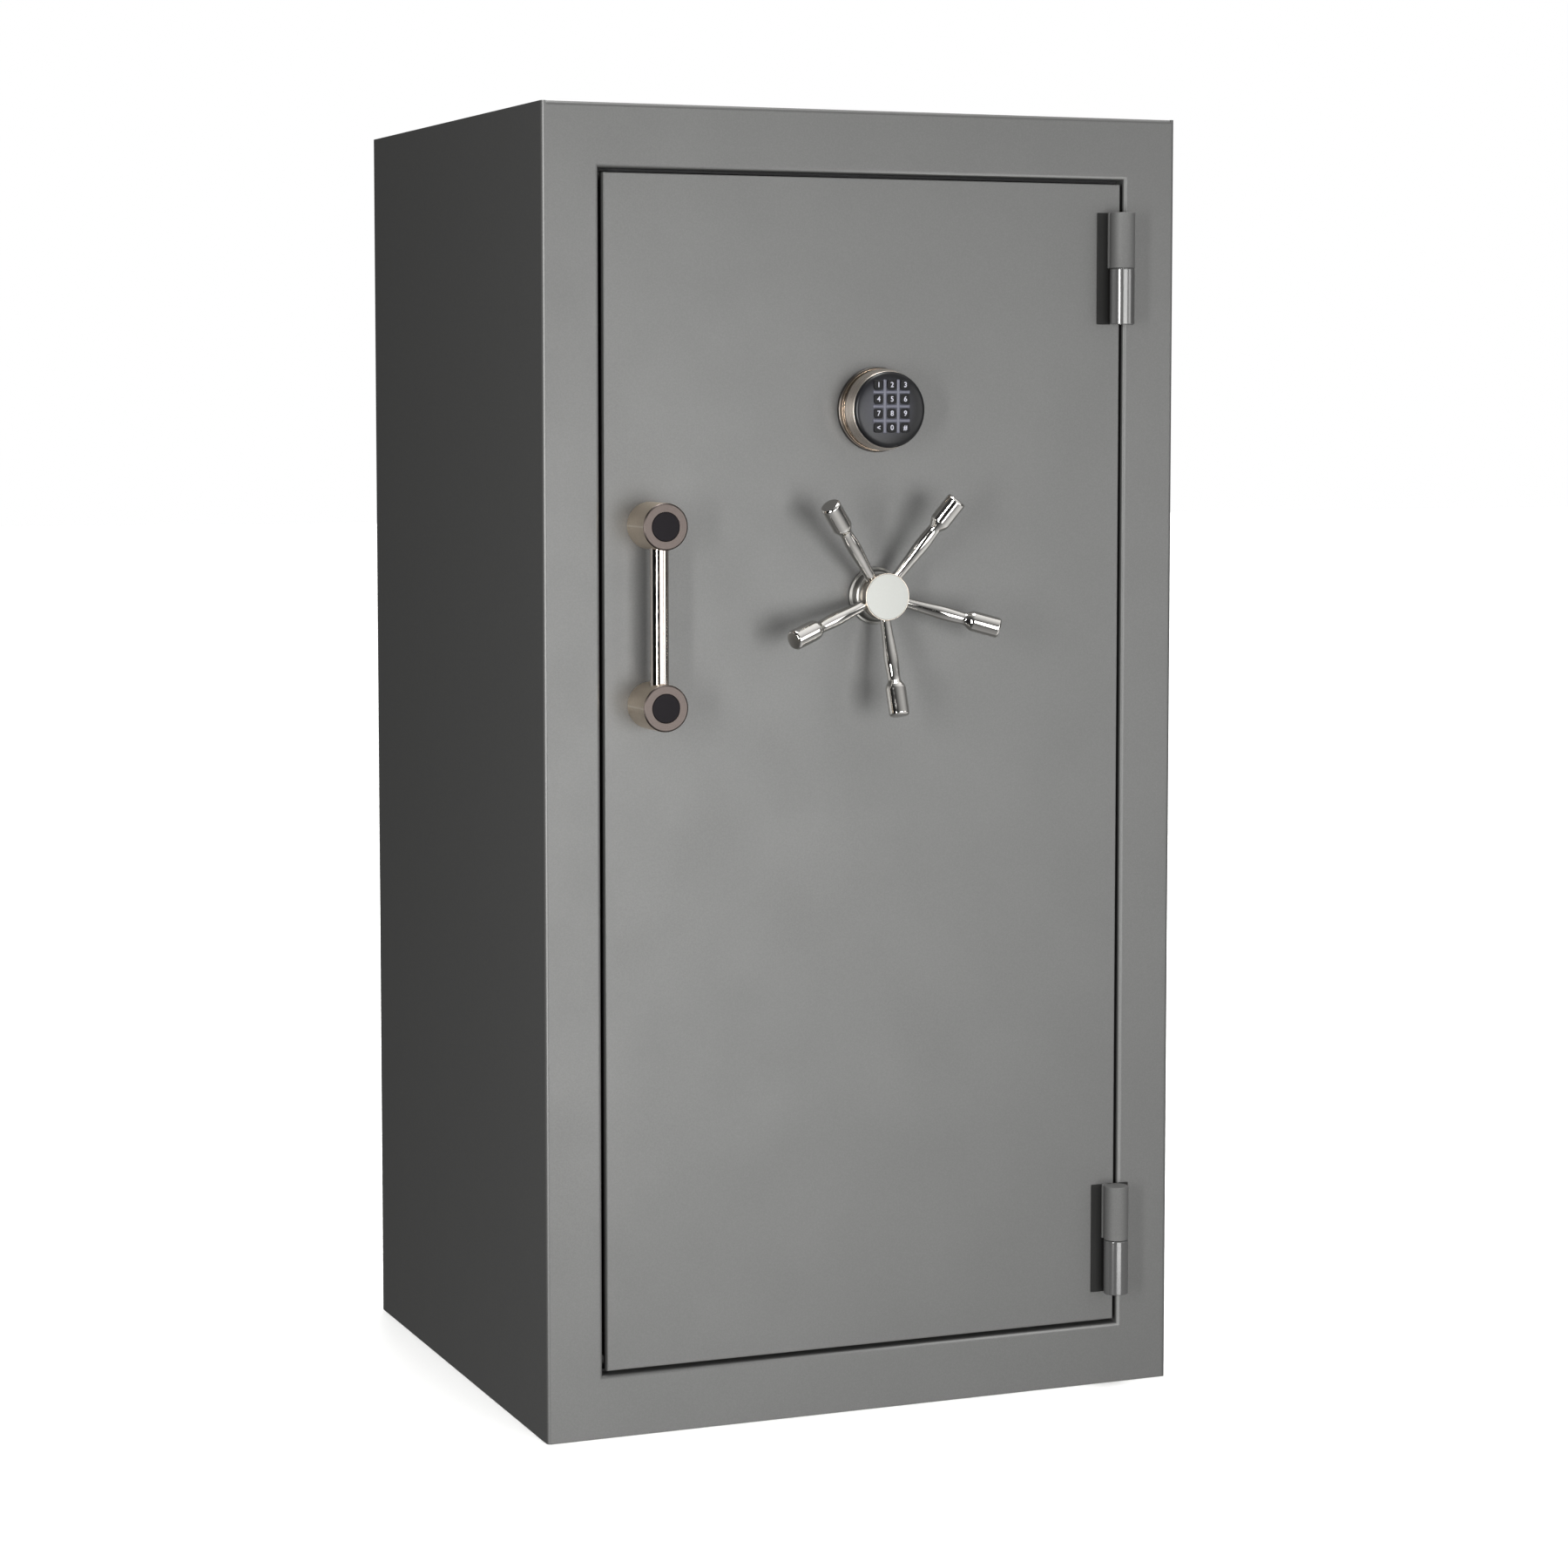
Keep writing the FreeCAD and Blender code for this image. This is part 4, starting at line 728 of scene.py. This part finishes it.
low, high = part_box("pull_bar")
bar_radius = (high.x - low.x) / 2
in_post = 0.004
shape = bmesh.new()
lathe(shape, [
    (low.z - in_post, 0.0), (low.z - in_post, bar_radius), (high.z + in_post, bar_radius),
    (high.z + in_post, 0.0),
], Matrix.Translation(((low.x + high.x) / 2, (low.y + high.y) / 2, 0)), ease=0.0005, steps=64)
bar_chrome = polished_chrome("worn chrome bar", "#c4bcb6", "#b3aaa3", 0.07, 0.16)
finish_piece("pull_handle_bar", shape, "door", [bar_chrome], "chrome", "pull_bar")

# ---------------------------------------- bolts
# Ten solid round locking bolts, hard chromed, with a broad chamfer on the end that meets the strike: four
# at each side, one at the top and one at the bottom.

chamfer = 0.003
for body, node, way, count in (
    ("bolts_left", "left_bolts", (-1, 0, 0), 4), ("bolts_right", "right_bolts", (1, 0, 0), 4),
    ("bolts_top", "top_bolt", (0, 0, 1), 1), ("bolts_bottom", "bottom_bolt", (0, 0, -1), 1),
):
    low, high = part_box(node)
    middle = (low + high) / 2
    size = high - low
    bolt_radius = size.y / 2
    way = Vector(way)
    length = size.z if way.z else size.x
    profile = [(0.0, 0.0), (0.0, bolt_radius), (length - chamfer, bolt_radius),
               (length, bolt_radius - chamfer), (length, 0.0)]
    turn_to = way.to_track_quat("Z", "Y").to_matrix().to_4x4()
    shape = bmesh.new()
    for number in range(count):
        centre = middle.copy()
        if count > 1:
            centre.z = low.z + bolt_radius + number * (size.z - 2 * bolt_radius) / (count - 1)
        lathe(shape, profile, Matrix.Translation(centre - way * length / 2) @ turn_to, ease=0.0005, steps=64)
    finish_piece(node + "_chromed", shape, body, [chrome], "chrome", node)

# ---------------------------------------- steel inside the door
# Pan, channels, bars, links and the pull handle's bolts are zinc-plated mild steel: pale grey with a faint
# crystalline bloom. The pins, spindle, pinion, lock bolt and hard plate are ground and bare.


def plated_steel(name, light, dark, low_rough, high_rough, bloom):
    """Zinc plate or ground steel, with the given number of crystals per metre under soft wipe marks."""
    material, tree = new_material(name, Metallic=0.9)
    place = object_place(tree)
    crystals = add(tree, "ShaderNodeTexVoronoi", {"Vector": place, "Scale": bloom})
    wipe = add(tree, "ShaderNodeTexNoise", {"Vector": place, "Scale": 14.0, "Detail": 4.0})
    blend = add(tree, "ShaderNodeMath", {0: crystals.outputs["Distance"], 1: wipe.outputs[0]},
                operation="MULTIPLY")
    add(tree, "ShaderNodeMix", {0: blend.outputs[0], 6: linear(light), 7: linear(dark)},
        to="Base Color", data_type="RGBA")
    add(tree, "ShaderNodeMapRange", {0: wipe.outputs[0], 1: 0.3, 2: 0.7, 3: low_rough, 4: high_rough},
        to="Roughness")
    return material


zinc = plated_steel("zinc plated steel", "#b9bbb9", "#7f827f", 0.3, 0.42, 90.0)
ground_steel = plated_steel("ground bare steel", "#a9aaa8", "#8d8e8c", 0.22, 0.34, 500.0)
give_material(zinc, "door_pan", "bolt_channels", "left_bolt_bar", "right_bolt_bar", "top_bolt_link",
              "bottom_bolt_link", "pull_handle_bolts")
give_material(ground_steel, "hinge_pins", "handle_spindle", "pinion", "lock_bolt", "hard_plate")

# The lock case is a zinc die casting, as cast: dull and finely grained.
casting = grained_material("zinc die casting", "#a2a3a2", "#8a8b8b", 500.0, 3.0, rough=(0.42, 0.6),
                           Metallic=0.8)
give_material(casting, "lock_case")

# The spindle bush is plain sintered bronze.
bush_bronze = turned_metal("sintered bronze", "#a5793f", "#8c6433", handle_centre, 0.35)
give_material(bush_bronze, "spindle_bush")

# The battery's can is a plain drawn steel sleeve, grey and faintly mottled.
sleeve = grained_material("drawn battery sleeve", "#5a5b5d", "#434446", 300.0, Metallic=0.7, Roughness=0.35)
give_material(sleeve, "keypad_battery")

# ---------------------------------------- fireproof board and seal
# Gypsum board with a paper face fills the walls and the door; a graphite strip that swells in a fire is
# glued round the jamb.

gypsum, tree = new_material("paper faced gypsum", Roughness=0.85)
place = object_place(tree)
fibres = add(tree, "ShaderNodeTexNoise", {"Vector": place, "Scale": 160.0, "Detail": 5.0})
add(tree, "ShaderNodeMix", {0: fibres.outputs[0], 6: linear("#d6d2c6"), 7: linear("#bdb8aa")},
    to="Base Color", data_type="RGBA")
add(tree, "ShaderNodeBump", {"Strength": 0.3, "Distance": 0.0003, "Height": fibres.outputs[0]}, to="Normal")
give_material(gypsum, "fire_board", "door_fire_board")

graphite = grained_material("graphite seal strip", "#1b1b1c", "#2b2b2d", 700.0, 3.0, rough=(0.6, 0.8))
give_material(graphite, "fire_seal")

# ---------------------------------------- carpeted linings
# Needle-punched grey carpet glued to the inside of the cabinet on four faces: left, right, back and roof.
# Each panel is cut to size.


def carpet_material(name, dark, light, pile):
    """Needle-punched carpet: tangled fibre tufts about 2.5 mm across with a soft sheen at grazing angles."""
    material, tree = new_material(name, Roughness=0.95, Sheen_Weight=0.35, Sheen_Roughness=0.6,
                                  Specular_IOR_Level=0.1)
    place = object_place(tree)
    tufts = add(tree, "ShaderNodeTexNoise", {"Vector": place, "Scale": 400.0, "Detail": 4.0,
                                             "Roughness": 0.7})
    patches = add(tree, "ShaderNodeTexNoise", {"Vector": place, "Scale": 9.0, "Detail": 3.0})
    both = add(tree, "ShaderNodeMix", {0: 0.25, 2: tufts.outputs[0], 3: patches.outputs[0]},
               data_type="FLOAT")
    spread = add(tree, "ShaderNodeMapRange", {0: both.outputs[0], 1: 0.38, 2: 0.62, 3: 0.0, 4: 1.0})
    add(tree, "ShaderNodeMix", {0: spread.outputs[0], 6: linear(dark), 7: linear(light)},
        to="Base Color", data_type="RGBA")
    add(tree, "ShaderNodeBump", {"Strength": 0.7, "Distance": pile, "Height": tufts.outputs[0]}, to="Normal")
    return material


carpet = carpet_material("needle-punched grey carpet", "#3d3e40", "#616264", 0.0012)


def carpet_panel(name, low, high, flat, *replaced):
    """One carpet panel, glued to the board behind it, with rounded cut edges."""
    shape = bmesh.new()
    block(shape, low, high, 0.0018)
    piece = finish_piece(name, shape, "cabinet", [carpet], "carpet", *replaced)


low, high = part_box("carpet_lining")
pile = 0.006
deep = high.y - low.y
tall = high.z - low.z
inner = high.x - low.x - 2 * pile
carpet_panel("lining_left", low, (low.x + pile, high.y, high.z), (deep, tall), "carpet_lining")
carpet_panel("lining_right", (high.x - pile, low.y, low.z), high, (deep, tall))
carpet_panel("lining_back", (low.x + pile, high.y - pile, low.z + pile),
             (high.x - pile, high.y, high.z - pile), (inner, tall - 2 * pile))
carpet_panel("lining_roof", (low.x + pile, low.y, high.z - pile), (high.x - pile, high.y, high.z),
             (inner, deep))

# ---------------------------------------- floor carpet
# The same carpet laid loose on the floor, cut to fit between the linings, with four holes for the
# anchors.

shape = merged("floor_carpet")
low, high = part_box("floor_carpet")
piece = finish_piece("floor_mat", shape, "cabinet", [carpet], "carpet", "floor_carpet")

# ---------------------------------------- divider and shelves
# 16 mm boards wrapped in the carpet: one upright divider, and four shelves at its right. A black plastic
# trim covers their front edge.

edge_trim = grained_material("black vinyl edge trim", "#19191a", "#242425", 600.0, rough=(0.35, 0.5))


def carpeted_board(shape, low, high):
    """A carpet-wrapped board whose front edge is covered by a rounded trim."""
    trim = 0.003
    block(shape, (low.x, low.y + trim, low.z), high, 0.0025)
    before = set(shape.faces)
    block(shape, low, (high.x, low.y + 2 * trim, high.z), 0.0028)
    for face in set(shape.faces) - before:
        face.material_index = 1


low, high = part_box("divider_panel")
shape = bmesh.new()
carpeted_board(shape, low, high)
finish_piece("divider_board", shape, "cabinet", [carpet, edge_trim], "carpeted_board", "divider_panel")

low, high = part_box("shelves")
board = 0.016
shape = bmesh.new()
for number in range(4):
    base = low.z + number * (high.z - board - low.z) / 3
    carpeted_board(shape, Vector((low.x, low.y, base)), Vector((high.x, high.y, base + board)))
finish_piece("shelf_boards", shape, "cabinet", [carpet, edge_trim], "carpeted_board", "shelves")

# ---------------------------------------- shelf standards
# Slotted steel strips folded into shallow channels on the linings; zinc clips carry the shelves. Every
# second cell in the middle of a strip is a slot.

low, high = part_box("shelf_standards")
strip_low = low.z
strip_high = high.z
wide = 0.016
shape = bmesh.new()
cells = 101
for x, inward in ((low.x, 1), (high.x, -1)):
    for y in (low.y, high.y - wide):
        start = set(shape.verts)
        bmesh.ops.create_grid(shape, x_segments=3, y_segments=cells, size=0.5)
        verts = [vert for vert in shape.verts if vert not in start]
        faces = list({face for vert in verts for face in vert.link_faces})
        cell = 1 / cells
        slots = [face for face in faces if abs(face.calc_center_median().x) < 0.1
                 and int((face.calc_center_median().y + 0.5) / cell) % 2 == 1]
        bmesh.ops.delete(shape, geom=slots, context="FACES")
        edges = {edge for vert in verts if vert.is_valid for edge in vert.link_edges}
        sides = [edge for edge in edges if edge.is_boundary
                 and all(abs(abs(vert.co.x) - 0.5) < 1e-5 for vert in edge.verts)]
        folded = bmesh.ops.extrude_edge_only(shape, edges=sides)["geom"]
        lips = [item for item in folded if isinstance(item, bmesh.types.BMVert)]
        bmesh.ops.translate(shape, vec=(0, 0, -1), verts=lips)
        verts = [vert for vert in shape.verts if vert not in start]
        spin_up = Matrix(((0, 0, inward * 0.0028, x + inward * 0.0038), (wide, 0, 0, y + wide / 2),
                          (0, strip_high - strip_low, 0, (strip_low + strip_high) / 2), (0, 0, 0, 1)))
        bmesh.ops.transform(shape, matrix=spin_up, verts=verts)
bmesh.ops.recalc_face_normals(shape, faces=shape.faces)
shelf_low, shelf_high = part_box("shelves")
for number in range(4):
    under = shelf_low.z + number * (shelf_high.z - board - shelf_low.z) / 3
    for x, inward in ((low.x, 1), (high.x, -1)):
        for y in (low.y, high.y - wide):
            x_1, x_2 = sorted((x + inward * 0.0042, x + inward * 0.0158))
            block(shape, (x_1, y + 0.003, under - 0.0025), (x_2, y + 0.013, under - 0.0002), 0.0006)
            x_1, x_2 = sorted((x + inward * 0.0042, x + inward * 0.0062))
            block(shape, (x_1, y + 0.003, under - 0.012), (x_2, y + 0.013, under - 0.0002), 0.0006)
finish_piece("slotted_standards", shape, "cabinet", [zinc], "bare_steel", "shelf_standards")

# ---------------------------------------- barrel rack
# A board covered in the same carpet, at the back of the long gun compartment. It has five notches for
# barrels, and its edges are soft and rounded.

shape = merged("barrel_rack")
bmesh.ops.dissolve_limit(shape, angle_limit=radians(1), verts=shape.verts, edges=shape.edges)
rim = [edge for edge in shape.edges if len(edge.link_faces) == 2 and edge.calc_face_angle() > radians(40)]
bmesh.ops.bevel(shape, geom=rim, offset=0.003, segments=3, profile=0.5, affect="EDGES", material=-1)
finish_piece("barrel_rest", shape, "cabinet", [carpet], "carpet", "barrel_rack")

# ---------------------------------------- upholstered door panel
# A board padded with thin foam under grey woven cloth, sewn through in broad panels; it hides the
# boltwork. The cloth is swelled by simulation, then the seams are pressed in.

low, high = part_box("door_inner_panel")
middle = (low + high) / 2
seam_rows = [low.z + (high.z - low.z) * part / 6 for part in range(1, 6)]
shape = bmesh.new()
block(shape, (low.x + 0.002, low.y, low.z + 0.002), (high.x - 0.002, high.y - 0.003, high.z - 0.002), 0.003)
pad = mesh_object("door_panel_pad", shape)
remesh = pad.modifiers.new("remesh", "REMESH")
remesh.mode = "VOXEL"
remesh.voxel_size = 0.005
bpy.context.view_layer.update()
fine = bpy.data.meshes.new_from_object(pad.evaluated_get(bpy.context.evaluated_depsgraph_get()))
pad.modifiers.clear()
pad.data = fine
home = [vert.co.copy() for vert in fine.vertices]
cloth = pad.modifiers.new("cloth", "CLOTH")
cloth.settings.use_pressure = True
cloth.settings.uniform_pressure_force = 4
cloth.settings.effector_weights.gravity = 0
cloth.settings.quality = 5
scene = bpy.context.scene
for number in range(1, 13):
    scene.frame_set(number)
swollen = bpy.data.meshes.new_from_object(pad.evaluated_get(bpy.context.evaluated_depsgraph_get()))
moved = [vert.co.copy() for vert in swollen.vertices]
pad.modifiers.clear()
scene.frame_set(1)
most = 0.005
seam_depth = 0.0042
seam_half = 0.014
hem = 0.03
for vert, was, now in zip(fine.vertices, home, moved):
    shift = now - was
    if shift.length > most:
        shift = shift.normalized() * most
    place = was + shift
    # The back stays flat on its board, and the front is held down at the edges and along the seams.
    if was.y < middle.y:
        place.y = was.y
    elif was.y > high.y - 0.005:
        edge = min(was.x - low.x, high.x - was.x, was.z - low.z, high.z - was.z)
        near = min([abs(was.z - row) for row in seam_rows] + [abs(edge - hem)])
        place.y -= seam_depth * max(0.0, 1 - near / seam_half) ** 2
    vert.co = (min(max(place.x, low.x), high.x), min(place.y, high.y + 0.003),
               min(max(place.z, low.z), high.z))

# Heavy woven polyester: two sets of threads 4.8 mm apart, drawn coarser than real so that the weave shows.
weave, tree = new_material("grey woven polyester", Roughness=0.85, Sheen_Weight=0.3,
                           Sheen_Roughness=0.5, Specular_IOR_Level=0.2)
place = object_place(tree)
across = add(tree, "ShaderNodeTexWave", {"Vector": place, "Scale": 66.0, "Distortion": 0.6, "Detail": 1.0},
             bands_direction="X")
along = add(tree, "ShaderNodeTexWave", {"Vector": place, "Scale": 66.0, "Distortion": 0.6, "Detail": 1.0},
            bands_direction="Z")
threads = add(tree, "ShaderNodeMath", {0: across.outputs[1], 1: along.outputs[1]}, operation="MULTIPLY")
slub = add(tree, "ShaderNodeTexNoise", {"Vector": place, "Scale": 60.0, "Detail": 4.0})
both = add(tree, "ShaderNodeMix", {0: 0.4, 2: threads.outputs[0], 3: slub.outputs[0]}, data_type="FLOAT")
add(tree, "ShaderNodeMix", {0: both.outputs[0], 6: linear("#3a3b3e"), 7: linear("#5f6064")},
    to="Base Color", data_type="RGBA")
add(tree, "ShaderNodeBump", {"Strength": 0.6, "Distance": 0.0006, "Height": threads.outputs[0]}, to="Normal")
fine.materials.clear()
fine.materials.append(weave)
fine.shade_smooth()
bpy.data.objects.remove(pad)
padding = new_object("door_padding", fine)
smooth = padding.modifiers.new("smooth", "SUBSURF")
smooth.levels = 1
smooth.render_levels = 1
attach(padding, "door")
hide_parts("door_inner_panel")

# ---------------------------------------- panel screws
# Eight domed screws with cupped washers hold the padded panel round its edge: three along each side, and
# one in the middle of the top and of the bottom.

low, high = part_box("panel_screws")
INWARD = Matrix.Rotation(radians(-90), 4, "X")
screw_radius = 0.005
shape = bmesh.new()
cupped = [
    (-0.002, 0.0), (-0.002, 0.0085), (0.0006, 0.0085), (0.0016, 0.0062), (0.0014, screw_radius),
    (0.0022, screw_radius - 0.0004), (0.0030, screw_radius - 0.0018), (0.0033, 0.0024),
    (0.0018, 0.0020), (0.0018, 0.0),
]
columns = (low.x + screw_radius, (low.x + high.x) / 2, high.x - screw_radius)
rows = (low.z + screw_radius, (low.z + high.z) / 2, high.z - screw_radius)
places = [(x, z) for x in columns for z in rows if (x, z) != (columns[1], rows[1])]
for x, z in places:
    place = Matrix.Translation((x, low.y + 0.0008, z)) @ INWARD
    lathe(shape, cupped, place, ease=0.0002, steps=32)
finish_piece("padding_screws", shape, "door", [chrome], "bare_steel", "panel_screws")
